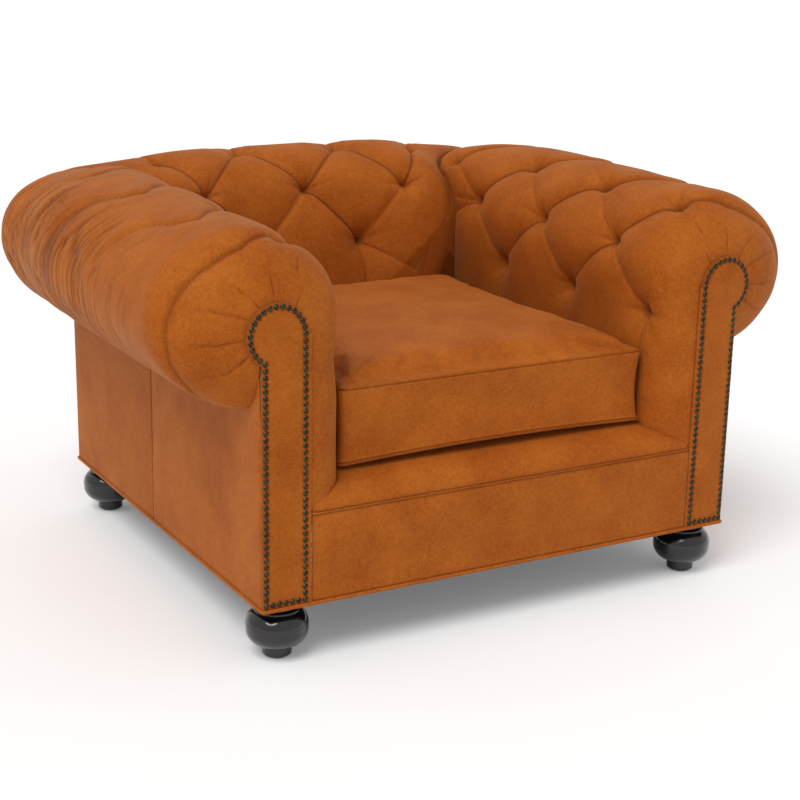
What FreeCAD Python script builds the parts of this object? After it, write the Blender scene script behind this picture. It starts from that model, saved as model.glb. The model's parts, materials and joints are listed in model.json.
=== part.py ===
import FreeCAD, Part
import math
import os
from FreeCAD import Vector

os.makedirs("parts", exist_ok=True)

# Millimetres. Seen from the front, +X is on the right; -Y is the front and +Z is up.
# Places are worked out from the middle of the base, and every piece is moved at the end
# so that the origin lies on the floor under the middle of the whole chair.

# Base, measured over its leather
base_width = 1020.0
base_depth = 972.0
foot_height = 107.0

# Leather, foam and the gaps between pieces
leather = 2.0
skin_gap = 0.3
fit_gap = 0.3
foam_gap = 1.2
pad_depth = 66.0
pad_foot_rise = 13.0

# Seat opening and the two rolls
seat_width = 668.0
seat_depth = 786.0
arm_height = 785.0
arm_roll_radius = 163.0
back_height = 788.0
back_roll_radius = 138.0
back_roll_setback = 190.0
back_knee_height = 470.0
arm_frame_height = 560.0

# Tufts: rows are measured down the leather from the top of the roll
arm_rows = (71.0, 202.0, 333.0)
back_rows = (10.0, 160.0, 290.0)
arm_tuft_pitch = 255.0
back_tuft_pitch = 244.0
first_arm_tuft = 86.0
tuft_sink = 30.0
pleat_sink = 12.0
tuft_gap = 9.0
foot_ease = 9.0
face_ease = 2.0
tie_radius = 1.0
nose_inset = 60.0
nose_length = 80.0
corner_inset = 85.0
corner_length = 115.0
cover_tail_drop = 10.0
cover_tail_in = 25.0
cover_crest_drop = 15.0
cover_crest_in = 60.0
cover_nest = 6.0
foam_nest = 9.0

# Hardwood frame
rail_thickness = 25.0
rail_height = 140.0
post_thickness = 32.0
back_post_depth = 54.0
top_rail_thickness = 26.0
tack_rail_height = 40.0
corner_block_side = 82.0
corner_block_height = 40.0

# Seat springs and the sheet over them
spring_count = 6
spring_pitch = 100.0
spring_wire = 3.8
spring_half_width = 26.0
spring_bars = 24
tie_wire = 2.4
tie_count = 3
burlap_thickness = 1.2
clip_width = 20.0
clip_depth = 13.0
clip_sheet = 1.2
webbing_thickness = 1.5
webbing_width = 70.0
webbing_strips = 3

# Seat deck, lip and front border
deck_height = 330.0
lip_depth = 106.0
border_height = 170.0
border_half_width = 416.0
piping_radius = 3.0
deck_back_gap = 7.0
lip_gap = 1.5
lip_nest = 4.0
lip_brow_drop = 6.0
lip_ease_drop = 1.2
border_pad_notch = 16.0

# Facing panels and their nails
facing_inner = 417.0
facing_outer = 508.0
facing_bulb_x = 479.0
facing_bulb_z = 601.0
facing_bulb_radius = 57.0
facing_board = 4.0
nail_margin_inner = 11.0
nail_margin_outer = 5.0
nail_margin_bulb = 6.0
nail_foot = 121.0
nail_pitch = 12.2
nail_radius = 4.95
nail_rise = 3.0
nail_shank_radius = 0.9
nail_shank_length = 5.5

# Outer covers, bottom welt and dust cover
side_seam_y = 30.0
seam_gap = 0.4
welt_height = 7.0
welt_proud = 3.0
dust_cover = 1.8
dust_gap = 0.2
dust_hole_ease = 2.0

# Loose seat cushion
cushion_side_gap = 4.5
cushion_back_gap = 10.0
cushion_front = 430.0
cushion_rest_gap = 0.3
cushion_seam_height = 473.0
cushion_crown = 43.0
cushion_corner = 38.0
cushion_draw_in = 5.0
cushion_piping = 3.5
zip_length = 520.0
zip_width = 24.0
zip_thickness = 1.2
zip_sewn_gap = 0.6
zip_height = 402.0
slider_length = 12.0
slider_width = 9.0
slider_thickness = 2.4
zip_pull_length = 24.0
slider_start = 24.0

# Turned feet
foot_x = 457.0
foot_y = 430.0
foot_ball_radius = 56.7
foot_stem_radius = 26.5
foot_stem_height = 22.0
foot_ball_height = 88.0
foot_neck_radius = 36.0
foot_bore = 4.1
bolt_radius = 4.0
bolt_in_foot = 55.0
bolt_in_block = 30.0
tee_nut_radius = 12.0
glide_radius = 20.0
glide_thickness = 3.0
tee_nut_recess = 6.0
tee_nut_flange = 2.0
foot_ring_height = 6.0
foot_shoulder = 5.0
foot_ring_swell = 2.0
foot_toe_chamfer = 2.0

# Places that follow from the sizes above
half_width = base_width / 2
half_depth = base_depth / 2
arm_face = seat_width / 2
back_face = seat_depth - half_depth
arm_core = arm_face + pad_depth
back_core = back_face + pad_depth
side_frame = half_width - leather
rear_frame = half_depth - leather
facing_depth = facing_board + leather
nose_front = half_depth - facing_depth
frame_front = nose_front - leather
frame_bottom = foot_height + dust_cover + dust_gap
rail_top = frame_bottom + rail_height
pad_foot = rail_top + pad_foot_rise
core_top = arm_frame_height
core_rear = half_depth + fit_gap
core_side = half_width + fit_gap
front_extent = half_depth + max(nail_rise, welt_proud)
back_extent = max(back_face + back_roll_setback + back_roll_radius, half_depth + welt_proud)
origin_shift = Vector(0, (front_extent - back_extent) / 2, 0)
high = 1000.0


def box(x0, x1, y0, y1, z0, z1):
    return Part.makeBox(x1 - x0, y1 - y0, z1 - z0, Vector(x0, y0, z0))


def mirrored(shape):
    return shape.mirror(Vector(0, 0, 0), Vector(1, 0, 0))


def extruded(points, direction):
    wire = Part.makePolygon(points + [points[0]])
    return Part.Face(wire).extrude(direction)


def arc(start, through, end):
    return Part.Arc(start, through, end).toShape()


def line(start, end):
    return Part.LineSegment(start, end).toShape()


def joined(shapes):
    return Part.makeCompound(shapes)


def write(name, shape):
    placed = shape.copy()
    placed.translate(origin_shift)
    placed.exportStep("parts/" + name + ".step")


# The two rolls. u runs outwards from the seat and z upwards, so one outline serves
# the arms, where u is x, and the back, where u is y.
arm_roll = {
    "face": arm_face,
    "centre_u": arm_face + arm_roll_radius,
    "centre_z": arm_height - arm_roll_radius,
    "radius": arm_roll_radius,
    "knee": arm_height - arm_roll_radius,
    "core": arm_core,
    "rows": arm_rows,
}
back_roll = {
    "face": back_face,
    "centre_u": back_face + back_roll_setback,
    "centre_z": back_height - back_roll_radius,
    "radius": back_roll_radius,
    "knee": back_knee_height,
    "core": back_core,
    "rows": back_rows,
}


def lean_angle(roll):
    """Angle, from the top of the roll inwards, at which the lower face meets the circle."""
    du = roll["centre_u"] - roll["face"]
    dz = roll["centre_z"] - roll["knee"]
    reach = math.hypot(du, dz)
    slope = math.atan2(dz, du) + math.asin(min(1.0, roll["radius"] / reach))
    return min(slope, math.pi / 2)


def roll_point(roll, run, sink, inset):
    """Point on the pad, run of leather down from the roll's top, sink below the crown."""
    lean = lean_angle(roll)
    angle = min(run / roll["radius"], lean)
    radius = roll["radius"] - inset
    u = roll["centre_u"] - radius * math.sin(angle)
    z = roll["centre_z"] + radius * math.cos(angle)
    rest = run - angle * roll["radius"]
    if rest > 0:
        u_knee = roll["face"] + inset
        leaning = max(z - roll["knee"], 0.0) / math.sin(lean)
        along = min(rest, leaning)
        u = u - along * math.cos(lean)
        z = z - along * math.sin(lean)
        if rest > leaning:
            u = u_knee
            z = z - (rest - leaning)
    u = u + sink * math.sin(angle)
    z = z - sink * math.cos(angle)
    return u, z


def run_to_height(roll, height, inset):
    """Length of leather from the roll's top down the face to a height."""
    lean = lean_angle(roll)
    tangent_z = roll["centre_z"] + (roll["radius"] - inset) * math.cos(lean)
    leaning = max(tangent_z - roll["knee"], 0.0)
    upright = tangent_z - leaning - height
    return lean * roll["radius"] + leaning / math.sin(lean) + upright


def pad_section(roll, place, along, phase, inset, fade, tuck):
    """Closed outline of a tufted pad across the roll, at one station along it.

    phase is 0 where the first and third rows have their tufts, and 1 where the second has.
    place turns (u, z, along) into a point. tuck keeps nested outlines apart inside the frame.
    """
    first, second, third = roll["rows"]
    upper = first + (second - tuft_gap - first) * phase
    lower = third + (second + tuft_gap - third) * phase
    between = math.sin(math.pi * phase)
    sink = fade * (tuft_sink + (pleat_sink - tuft_sink) * between)
    middle_sink = 0.8 * fade * tuft_sink * phase ** 2
    foot_z = pad_foot - cover_tail_drop - tuck
    foot_run = run_to_height(roll, foot_z, inset)
    over = -0.8 * roll["radius"]
    under = -3.2 * roll["radius"]
    spots = [
        roll_point(roll, foot_run, foot_ease, inset),
        roll_point(roll, (foot_run + lower) / 2, face_ease, inset),
        roll_point(roll, lower, sink, inset),
        roll_point(roll, (lower + upper) / 2, middle_sink, inset),
        roll_point(roll, upper, sink, inset),
        roll_point(roll, (upper + over) / 2, 0, inset),
        roll_point(roll, over, 0, inset),
        roll_point(roll, (over + under) / 2, 0, inset),
        roll_point(roll, under, 0, inset),
    ]
    points = [place(u, z, along) for u, z in spots]
    inner_u = roll["core"] + cover_tail_in + tuck
    inner_z = core_top - cover_crest_drop - tuck
    corners = [
        points[8],
        place(roll["core"] + cover_crest_in, inner_z, along),
        place(inner_u, inner_z, along),
        place(inner_u, foot_z, along),
        points[0],
    ]
    edges = [arc(points[i], points[i + 1], points[i + 2]) for i in (0, 2, 4, 6)]
    edges += [line(a, b) for a, b in zip(corners, corners[1:])]
    return Part.Wire(edges)


def zigzag(along, start, pitch):
    """Phase of the diamonds: 0 at start, 1 half a pitch further, 0 again after a pitch."""
    turn = ((along - start) / pitch) % 1.0
    return 1.0 - abs(2.0 * turn - 1.0)


# How a pad rounds off at an end: share of the end's length, share of its inset
end_curve = [(0.0, 1.0), (0.12, 0.55), (0.4, 0.18), (0.75, 0.03)]


def arm_pad(skin, front, tuck):
    """Right arm's pad, skin inside the leather, before it is fitted to the frame."""
    start = -half_depth + first_arm_tuft
    step = arm_tuft_pitch / 4
    stations = [(front + share * nose_length, inset * nose_inset) for share, inset in end_curve]
    end = back_extent - skin
    count = int((end - corner_length - start) / step) + 1
    stations += [(start + i * step, 0.0) for i in range(count)]
    stations += [(end - share * corner_length, inset * corner_inset) for share, inset in end_curve[::-1]]
    wires = []
    for along, inset in stations:
        fade = max(0.0, 1.0 - inset / nose_inset)
        phase = zigzag(along, start, arm_tuft_pitch)
        wires.append(
            pad_section(arm_roll, lambda u, z, y: Vector(u, y, z), along, phase, skin + inset, fade, tuck)
        )
    return Part.makeLoft(wires, True, False)


def back_pad(skin, tuck):
    """Back pad, skin inside the leather, before it is mitred into the arms."""
    step = back_tuft_pitch / 4
    end = arm_face + 2 * arm_roll_radius - skin
    count = int((end - corner_length) / step)
    stations = [(i * step, 0.0) for i in range(-count, count + 1)]
    corner = [(end - share * corner_length, inset * corner_inset) for share, inset in end_curve[::-1]]
    stations = [(-along, inset) for along, inset in corner[::-1]] + stations + corner
    wires = []
    for along, inset in stations:
        fade = max(0.0, 1.0 - inset / nose_inset)
        phase = 1.0 - zigzag(along, 0.0, back_tuft_pitch)
        wires.append(
            pad_section(back_roll, lambda u, z, x: Vector(x, u, z), along, phase, skin + inset, fade, tuck)
        )
    return Part.makeLoft(wires, True, False)


def mitre_prism(for_back):
    """Upright block in front of, or behind, the mitre lines at the two back corners."""
    run = high - arm_face
    inner = Vector(arm_face - run, back_face - run, pad_foot)
    outer = Vector(arm_face + run, back_face + run, pad_foot)
    if for_back:
        left = Vector(-outer.x, outer.y, pad_foot)
        corner_right = Vector(arm_face - 200.0, back_face - 200.0, pad_foot)
        corner_left = Vector(-corner_right.x, corner_right.y, pad_foot)
        return extruded([left, corner_left, corner_right, outer], Vector(0, 0, high))
    far = Vector(outer.x, inner.y - high, pad_foot)
    near = Vector(arm_face - 100.0, inner.y - high, pad_foot)
    turn = Vector(arm_face - 100.0, back_face - 100.0, pad_foot)
    return extruded([near, turn, outer, far], Vector(0, 0, high))


def without_frame(pad):
    """Cuts away the space that the frame takes, behind the leather caps of the arm fronts."""
    side = box(arm_core, core_side, -frame_front, core_rear, 0, core_top)
    rear = box(-core_side, core_side, back_core, core_rear, 0, core_top)
    return pad.cut(side.fuse(mirrored(side)).fuse(rear).removeSplitter())


def fitted_arm(pad):
    return without_frame(pad.common(mitre_prism(False)))


def fitted_back(pad):
    return without_frame(pad.common(mitre_prism(True)))


def largest(shape):
    """The piece itself, without crumbs that a cut leaves under the frame."""
    return max(shape.Solids, key=lambda solid: solid.Volume)


def make_pads():
    arm_skin = arm_pad(0.0, -nose_front, 0.0)
    arm_inside = arm_pad(leather, -frame_front, cover_nest)
    arm_foam_body = arm_pad(leather + foam_gap, -frame_front + foam_gap, foam_nest)
    cover = largest(fitted_arm(arm_skin).cut(arm_inside))
    foam = largest(fitted_arm(arm_foam_body))
    back_cover = largest(fitted_back(back_pad(0.0, 0.0)).cut(back_pad(leather, cover_nest)))
    back_foam = largest(fitted_back(back_pad(leather + foam_gap, foam_nest)))
    write("inner_arm_cover_right", cover)
    write("inner_arm_cover_left", mirrored(cover))
    write("arm_foam_right", foam)
    write("arm_foam_left", mirrored(foam))
    write("inner_back_cover", back_cover)
    write("back_foam", back_foam)


def make_rails():
    low, top = frame_bottom, rail_top
    side_in = side_frame - rail_thickness
    write("front_rail", box(-side_in, side_in, -frame_front, -frame_front + rail_thickness, low, top))
    write("back_rail", box(-side_in, side_in, rear_frame - rail_thickness, rear_frame, low, top))
    rail = box(side_in, side_frame, -frame_front, rear_frame, low, top)
    write("side_rail_right", rail)
    write("side_rail_left", mirrored(rail))
    blocks = []
    for side in (-1, 1):
        for y0 in (-frame_front + rail_thickness, rear_frame - rail_thickness - corner_block_side):
            x0 = min(side * side_in, side * (side_in - corner_block_side))
            y1 = y0 + corner_block_side
            block = box(x0, x0 + corner_block_side, y0, y1, low, low + corner_block_height)
            blocks.append(block)
    for x, y in foot_places():
        hole = Part.makeCylinder(foot_bore, high, Vector(x, y, 0))
        recess_z = low + corner_block_height - tee_nut_recess
        recess = Part.makeCylinder(tee_nut_radius + skin_gap, high, Vector(x, y, recess_z))
        blocks = [block.cut(hole).cut(recess) for block in blocks]
    write("corner_blocks", joined(blocks))


def make_posts():
    front = box(arm_core, side_frame, -frame_front, -frame_front + post_thickness, rail_top, core_top)
    rear = box(arm_core, side_frame, rear_frame - back_post_depth, rear_frame, rail_top, core_top)
    write("front_post_right", front)
    write("front_post_left", mirrored(front))
    write("back_post_right", rear)
    write("back_post_left", mirrored(rear))
    y0 = -frame_front + post_thickness
    y1 = rear_frame - back_post_depth
    top_rail = box(arm_core, side_frame, y0, y1, core_top - top_rail_thickness, core_top)
    write("arm_top_rails", joined([top_rail, mirrored(top_rail)]))
    tack_top = pad_foot + tack_rail_height
    tack = box(arm_core, arm_core + rail_thickness, y0, y1, pad_foot, tack_top)
    write("arm_tack_rails", joined([tack, mirrored(tack)]))
    back_top = box(-arm_core, arm_core, back_core, rear_frame, core_top - top_rail_thickness, core_top)
    write("back_top_rail", back_top)
    back_tack = box(-arm_core, arm_core, back_core, back_core + rail_thickness, pad_foot, tack_top)
    write("back_tack_rail", back_tack)


def make_webbing():
    """Strips from tack rail to top rail, let into the frame's inner side."""
    z0 = pad_foot + tack_rail_height
    z1 = core_top - top_rail_thickness
    y0 = -frame_front + post_thickness
    y1 = rear_frame - back_post_depth
    strips = []
    for i in range(webbing_strips):
        y = y0 + (y1 - y0) * (i + 0.5) / webbing_strips
        edge_0, edge_1 = y - webbing_width / 2, y + webbing_width / 2
        strip = box(arm_core, arm_core + webbing_thickness, edge_0, edge_1, z0, z1)
        strips += [strip, mirrored(strip)]
    for i in range(webbing_strips + 1):
        x = -arm_core + 2 * arm_core * (i + 0.5) / (webbing_strips + 1)
        x0, x1 = x - webbing_width / 2, x + webbing_width / 2
        strips.append(box(x0, x1, back_core, back_core + webbing_thickness, z0, z1))
    write("webbing", joined(strips))


def tuft_places(roll, start, pitch, reach):
    """Station and row run of each tuft, from the first one to a distance along the pad."""
    first, second, third = roll["rows"]
    places = []
    for run, offset in ((first, 0.0), (second, 0.5), (third, 0.0)):
        along = start + offset * pitch
        while along < reach:
            places.append((along, run))
            along += pitch
    return places


def tie(roll, place, along, run):
    """Twine from the bottom of a tuft straight back to the frame."""
    u, z = roll_point(roll, run, tuft_sink + leather + 2 * skin_gap, 0.0)
    end = place(roll["core"], z, along) if z < core_top else place(max(u, roll["core"]), core_top, along)
    start = place(u, z, along)
    return Part.makeCylinder(tie_radius, (end - start).Length, start, end - start)


def make_ties():
    start = -half_depth + first_arm_tuft
    ties = []
    for along, run in tuft_places(arm_roll, start, arm_tuft_pitch, back_face - tuft_sink):
        one = tie(arm_roll, lambda u, z, y: Vector(u, y, z), along, run)
        ties += [one, mirrored(one)]
    side = arm_face - tuft_sink
    for along, run in tuft_places(back_roll, back_tuft_pitch / 2, back_tuft_pitch, side):
        one = tie(back_roll, lambda u, z, x: Vector(x, u, z), along, run)
        ties += [one, mirrored(one)]
    middle_run = back_rows[1]
    ties.append(tie(back_roll, lambda u, z, x: Vector(x, u, z), 0.0, middle_run))
    write("tuft_ties", joined(ties))


def spring_line(x):
    """Path of one wire: bars across, joined by half turns, from front rail to back rail."""
    z = rail_top + clip_sheet + spring_wire / 2 + skin_gap
    first = -frame_front + rail_thickness / 2
    last = rear_frame - rail_thickness / 2
    gap = (last - first) / (spring_bars - 1)
    turn = gap / 2
    edges = []
    for i in range(spring_bars):
        y = first + i * gap
        side = 1 if i % 2 == 0 else -1
        start = Vector(x - side * spring_half_width, y, z)
        end = Vector(x + side * spring_half_width, y, z)
        edges.append(line(start, end))
        if i < spring_bars - 1:
            middle = Vector(x + side * (spring_half_width + turn), y + turn, z)
            edges.append(arc(end, middle, Vector(end.x, y + gap, z)))
    return Part.Wire(edges)


def spring_places():
    return [(i - (spring_count - 1) / 2) * spring_pitch for i in range(spring_count)]


def make_springs():
    springs = []
    clips = []
    clip_height = spring_wire + 2 * clip_sheet + 2 * skin_gap
    for x in spring_places():
        path = spring_line(x)
        start = path.Edges[0].Vertexes[0].Point
        ring = Part.Wire(Part.makeCircle(spring_wire / 2, start, Vector(1, 0, 0)))
        springs.append(path.makePipeShell([ring], True, False))
        for y in (-frame_front + rail_thickness / 2, rear_frame - rail_thickness / 2):
            outside = box(
                x - clip_width / 2, x + clip_width / 2, y - clip_depth / 2, y + clip_depth / 2,
                rail_top, rail_top + clip_height,
            )
            seatward = 1 if y < 0 else -1
            reach = sorted((y - seatward * (spring_wire / 2 + skin_gap), y + seatward * clip_depth))
            slot = box(
                x - clip_width, x + clip_width, reach[0], reach[1],
                rail_top + clip_sheet, rail_top + clip_height - clip_sheet,
            )
            clips.append(outside.cut(slot))
    write("seat_springs", joined(springs))
    write("spring_clips", joined(clips))
    tie_z = rail_top + clip_sheet + skin_gap + spring_wire + tie_wire / 2 + skin_gap
    ties = []
    for i in range(tie_count):
        y = -frame_front + (frame_front + back_core) * (i + 1) / (tie_count + 1)
        end = arm_core - skin_gap
        ties.append(Part.makeCylinder(tie_wire / 2, 2 * end, Vector(-end, y, tie_z), Vector(1, 0, 0)))
    write("spring_tie_wires", joined(ties))


def burlap_bottom():
    clear = clip_sheet + skin_gap + spring_wire + skin_gap + tie_wire + skin_gap
    return rail_top + clear


def make_deck():
    """Sheet over the springs, the deck's foam and cover, and the border's pad."""
    low = burlap_bottom()
    write("seat_burlap", box(-arm_core, arm_core, -frame_front, back_core, low, low + burlap_thickness))
    foam_low = low + burlap_thickness
    side = arm_face - fit_gap
    rear = back_face - deck_back_gap
    lip_rear = -half_depth + lip_depth
    foam_top = deck_height - leather
    write("deck_foam", box(-side, side, lip_rear + fit_gap, rear, foam_low, foam_top))
    write("deck_cover", box(-side, side, lip_rear + fit_gap, rear, foam_top, deck_height))


def lip_curve(drop):
    """Side line of the lip, drop inside its leather: over from the piping and back to the deck."""
    front = -half_depth + drop
    rear = -half_depth + lip_depth
    seam = foot_height + border_height + piping_radius + fit_gap
    top = deck_height - drop
    start = Vector(0, front, seam)
    swell = Vector(0, front + lip_depth * 0.18, seam + (top - seam) * 0.58)
    brow = Vector(0, front + lip_depth * 0.52, top - lip_brow_drop)
    ease = Vector(0, front + lip_depth * 0.78, top - lip_ease_drop)
    end = Vector(0, rear, top)
    return [arc(start, swell, brow), arc(brow, ease, end)], start, end


def make_lip():
    """Sloping front edge between the arms, trimmed to the arms' round fronts."""
    arm = arm_pad(-lip_gap, -nose_front - lip_gap, -lip_nest)
    post = box(arm_core - fit_gap, high, -high, high, 0, pad_foot)
    skin, skin_start, skin_end = lip_curve(0.0)
    lining, lining_start, lining_end = lip_curve(leather)
    cover = Part.Wire(skin + [line(skin_end, lining_end)] + lining[::-1] + [line(lining_start, skin_start)])
    curve, start, end = lip_curve(leather + skin_gap)
    low = burlap_bottom() + burlap_thickness
    heel = Vector(0, end.y, low)
    toe = Vector(0, -frame_front, low)
    step = Vector(0, -frame_front, start.z)
    foam = Part.Wire(curve + [line(end, heel), line(heel, toe), line(toe, step), line(step, start)])
    for name, wire in (("lip_cover", cover), ("lip_foam", foam)):
        face = Part.Face(wire)
        face.translate(Vector(-border_half_width, 0, 0))
        piece = face.extrude(Vector(2 * border_half_width, 0, 0))
        for cutter in (arm, mirrored(arm), post, mirrored(post)):
            piece = piece.cut(cutter)
        write(name, largest(piece))


def make_border():
    top = foot_height + border_height - piping_radius - fit_gap
    outside = -half_depth
    inner = outside + leather
    write("front_border_cover", box(-border_half_width, border_half_width, outside, inner, foot_height, top))
    pad = box(-border_half_width, border_half_width, inner, -frame_front, foot_height, top)
    notch = box(arm_face, high, -high, high, top - border_pad_notch, high)
    write("front_border_pad", pad.cut(notch).cut(mirrored(notch)))
    length = 2 * border_half_width
    centre = Vector(-border_half_width, outside + piping_radius, foot_height + border_height)
    write("border_piping", Part.makeCylinder(piping_radius, length, centre, Vector(1, 0, 0)))


def keyhole(inner, outer, foot, radius, y, depth):
    """Facing panel's outline: an upright strip that ends in a round head, extruded forwards."""
    centre = Vector(facing_bulb_x, y, facing_bulb_z)
    head = Part.Face(Part.Wire(Part.makeCircle(radius, centre, Vector(0, 1, 0))))
    strip = extruded(
        [
            Vector(inner, y, foot),
            Vector(outer, y, foot),
            Vector(outer, y, facing_bulb_z),
            Vector(inner, y, facing_bulb_z),
        ],
        Vector(0, depth, 0),
    )
    return head.extrude(Vector(0, depth, 0)).fuse(strip).removeSplitter()


def nail_line():
    """Places of the nail heads: down the inner side, along the foot, up and round the head."""
    inner = facing_inner + nail_margin_inner
    outer = facing_outer - nail_margin_outer
    radius = facing_bulb_radius - nail_margin_bulb
    start = math.acos((inner - facing_bulb_x) / radius)
    end = -math.acos((outer - facing_bulb_x) / radius)
    neck = facing_bulb_z + radius * math.sin(end)
    shoulder = facing_bulb_z + radius * math.sin(start)
    places = []
    stretches = [
        (Vector(inner, 0, shoulder), Vector(inner, 0, nail_foot)),
        (Vector(inner, 0, nail_foot), Vector(outer, 0, nail_foot)),
        (Vector(outer, 0, nail_foot), Vector(outer, 0, neck)),
    ]
    for a, b in stretches:
        count = round((b - a).Length / nail_pitch)
        places += [a + (b - a) * (i / count) for i in range(count)]
    turn = 2 * math.pi - (start - end) if start < 0 else start - end
    count = round(turn * radius / nail_pitch)
    for i in range(count):
        angle = end + turn * i / count
        x = facing_bulb_x + radius * math.cos(angle)
        z = facing_bulb_z + radius * math.sin(angle)
        places.append(Vector(x, 0, z))
    return places


def nail(place):
    """Domed head on a short shank, its head flat on the leather."""
    face = -half_depth
    ball = (nail_radius ** 2 + nail_rise ** 2) / (2 * nail_rise)
    dome = Part.makeSphere(ball, Vector(place.x, face - nail_rise + ball, place.z))
    around = box(place.x - ball, place.x + ball, face - nail_rise, face, place.z - ball, place.z + ball)
    head = dome.common(around)
    root = Vector(place.x, face, place.z)
    shank = Part.makeCylinder(nail_shank_radius, nail_shank_length, root, Vector(0, 1, 0))
    return head.fuse(shank)


def make_facings():
    face = -half_depth
    board_front = face + leather
    foot = foot_height + welt_height + fit_gap
    cover = keyhole(facing_inner, facing_outer, foot, facing_bulb_radius, face, leather)
    board = keyhole(facing_inner, facing_outer, foot, facing_bulb_radius, board_front, facing_board)
    heads = joined([nail(place) for place in nail_line()])
    for name, shape in (("facing_cover", cover), ("facing_board", board), ("facing_nails", heads)):
        write(name + "_right", shape)
        write(name + "_left", mirrored(shape))


def make_outer_covers():
    """Leather down the chair's outside, tacked behind the rolls and folded to the front."""
    top = core_top
    front_y = -frame_front - leather
    seam_y = side_seam_y - seam_gap / 2
    fold_top = pad_foot - cover_tail_drop - cover_nest
    side = box(side_frame, half_width, -frame_front + fit_gap, seam_y, foot_height, top)
    fold = box(border_half_width, half_width, front_y, -frame_front, foot_height, fold_top)
    corner = box(side_frame, half_width, front_y, seam_y, foot_height, fold_top)
    front = side.fuse(fold).fuse(corner).removeSplitter()
    rear = box(side_frame, half_width, side_seam_y + seam_gap / 2, half_depth, foot_height, top)
    write("outer_arm_cover_front_right", front)
    write("outer_arm_cover_front_left", mirrored(front))
    write("outer_arm_cover_rear_right", rear)
    write("outer_arm_cover_rear_left", mirrored(rear))
    write("outer_back_cover", box(-side_frame, side_frame, rear_frame, half_depth, foot_height, top))


def ring_outline(x, y, radius, z):
    """Rounded rectangle, half sizes x and y."""
    kx, ky = x - radius, y - radius
    c = radius * math.sqrt(0.5)
    corners = [(kx, ky, 1, 1), (-kx, ky, -1, 1), (-kx, -ky, -1, -1), (kx, -ky, 1, -1)]
    edges = []
    for i, (cx, cy, sx, sy) in enumerate(corners):
        ends = [Vector(cx + sx * radius, cy, z), Vector(cx, cy + sy * radius, z)]
        if i % 2:
            ends.reverse()
        edges.append(arc(ends[0], Vector(cx + sx * c, cy + sy * c, z), ends[1]))
        nx, ny, tx, ty = corners[(i + 1) % 4]
        following = Vector(nx, ny + ty * radius, z) if i % 2 == 0 else Vector(nx + tx * radius, ny, z)
        edges.append(line(ends[1], following))
    return Part.Wire(edges)


def make_base_trim():
    """Welt round the foot of the base, and the cloth that closes the base from below."""
    corner = welt_proud + leather
    outside = ring_outline(half_width + welt_proud, half_depth + welt_proud, corner, foot_height)
    hole = box(-half_width, half_width, -half_depth, half_depth, 0, high)
    ring = Part.Face(outside).extrude(Vector(0, 0, welt_height)).cut(hole)
    write("base_welt", ring)
    front = -frame_front
    sheet = box(-side_frame, side_frame, front, rear_frame, foot_height, foot_height + dust_cover)
    for x, y in foot_places():
        sheet = sheet.cut(Part.makeCylinder(foot_bore + dust_hole_ease, high, Vector(x, y, 0)))
    write("dust_cover", sheet)


def foot_places():
    rear = rear_frame - frame_front + foot_y
    return [(-foot_x, -foot_y), (foot_x, -foot_y), (-foot_x, rear), (foot_x, rear)]


def turned_foot():
    """Bun foot: stem, flattened ball, two rings and a neck, bored for its bolt."""
    belly = foot_stem_height + (foot_ball_height - foot_stem_height) * 0.52
    shoulder = foot_neck_radius + foot_shoulder
    ring_z = foot_ball_height + foot_ring_height
    collar_z = ring_z + foot_ring_height
    low_out = foot_stem_radius + (foot_ball_radius - foot_stem_radius) * 0.78
    top_out = shoulder + (foot_ball_radius - shoulder) * 0.72
    edges = []
    stem_top = Vector(foot_stem_radius, 0, foot_stem_height)
    widest = Vector(foot_ball_radius, 0, belly)
    crest = Vector(shoulder, 0, foot_ball_height)
    ring_top = Vector(shoulder, 0, ring_z)
    neck_low = Vector(foot_neck_radius, 0, ring_z)
    neck_mid = Vector(foot_neck_radius, 0, collar_z)
    neck_top = Vector(foot_neck_radius, 0, foot_height)
    toe = Vector(foot_stem_radius - foot_toe_chamfer, 0, glide_thickness)
    toe_side = Vector(foot_stem_radius, 0, glide_thickness + foot_toe_chamfer)
    edges.append(line(Vector(0, 0, glide_thickness), toe))
    edges.append(line(toe, toe_side))
    edges.append(line(toe_side, stem_top))
    low_z = foot_stem_height + (belly - foot_stem_height) * 0.36
    edges.append(arc(stem_top, Vector(low_out, 0, low_z), widest))
    edges.append(arc(widest, Vector(top_out, 0, belly + (foot_ball_height - belly) * 0.68), crest))
    ring_out = Vector(shoulder + foot_ring_swell, 0, (foot_ball_height + ring_z) / 2)
    edges.append(arc(crest, ring_out, ring_top))
    edges.append(line(ring_top, neck_low))
    collar_out = Vector(foot_neck_radius + foot_ring_swell, 0, (ring_z + collar_z) / 2)
    edges.append(arc(neck_low, collar_out, neck_mid))
    edges.append(line(neck_mid, neck_top))
    edges.append(line(neck_top, Vector(0, 0, foot_height)))
    edges.append(line(Vector(0, 0, foot_height), Vector(0, 0, glide_thickness)))
    body = Part.Face(Part.Wire(edges)).revolve(Vector(0, 0, 0), Vector(0, 0, 1), 360)
    bore = Part.makeCylinder(foot_bore, high, Vector(0, 0, foot_height - bolt_in_foot - fit_gap))
    return body.cut(bore)


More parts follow.
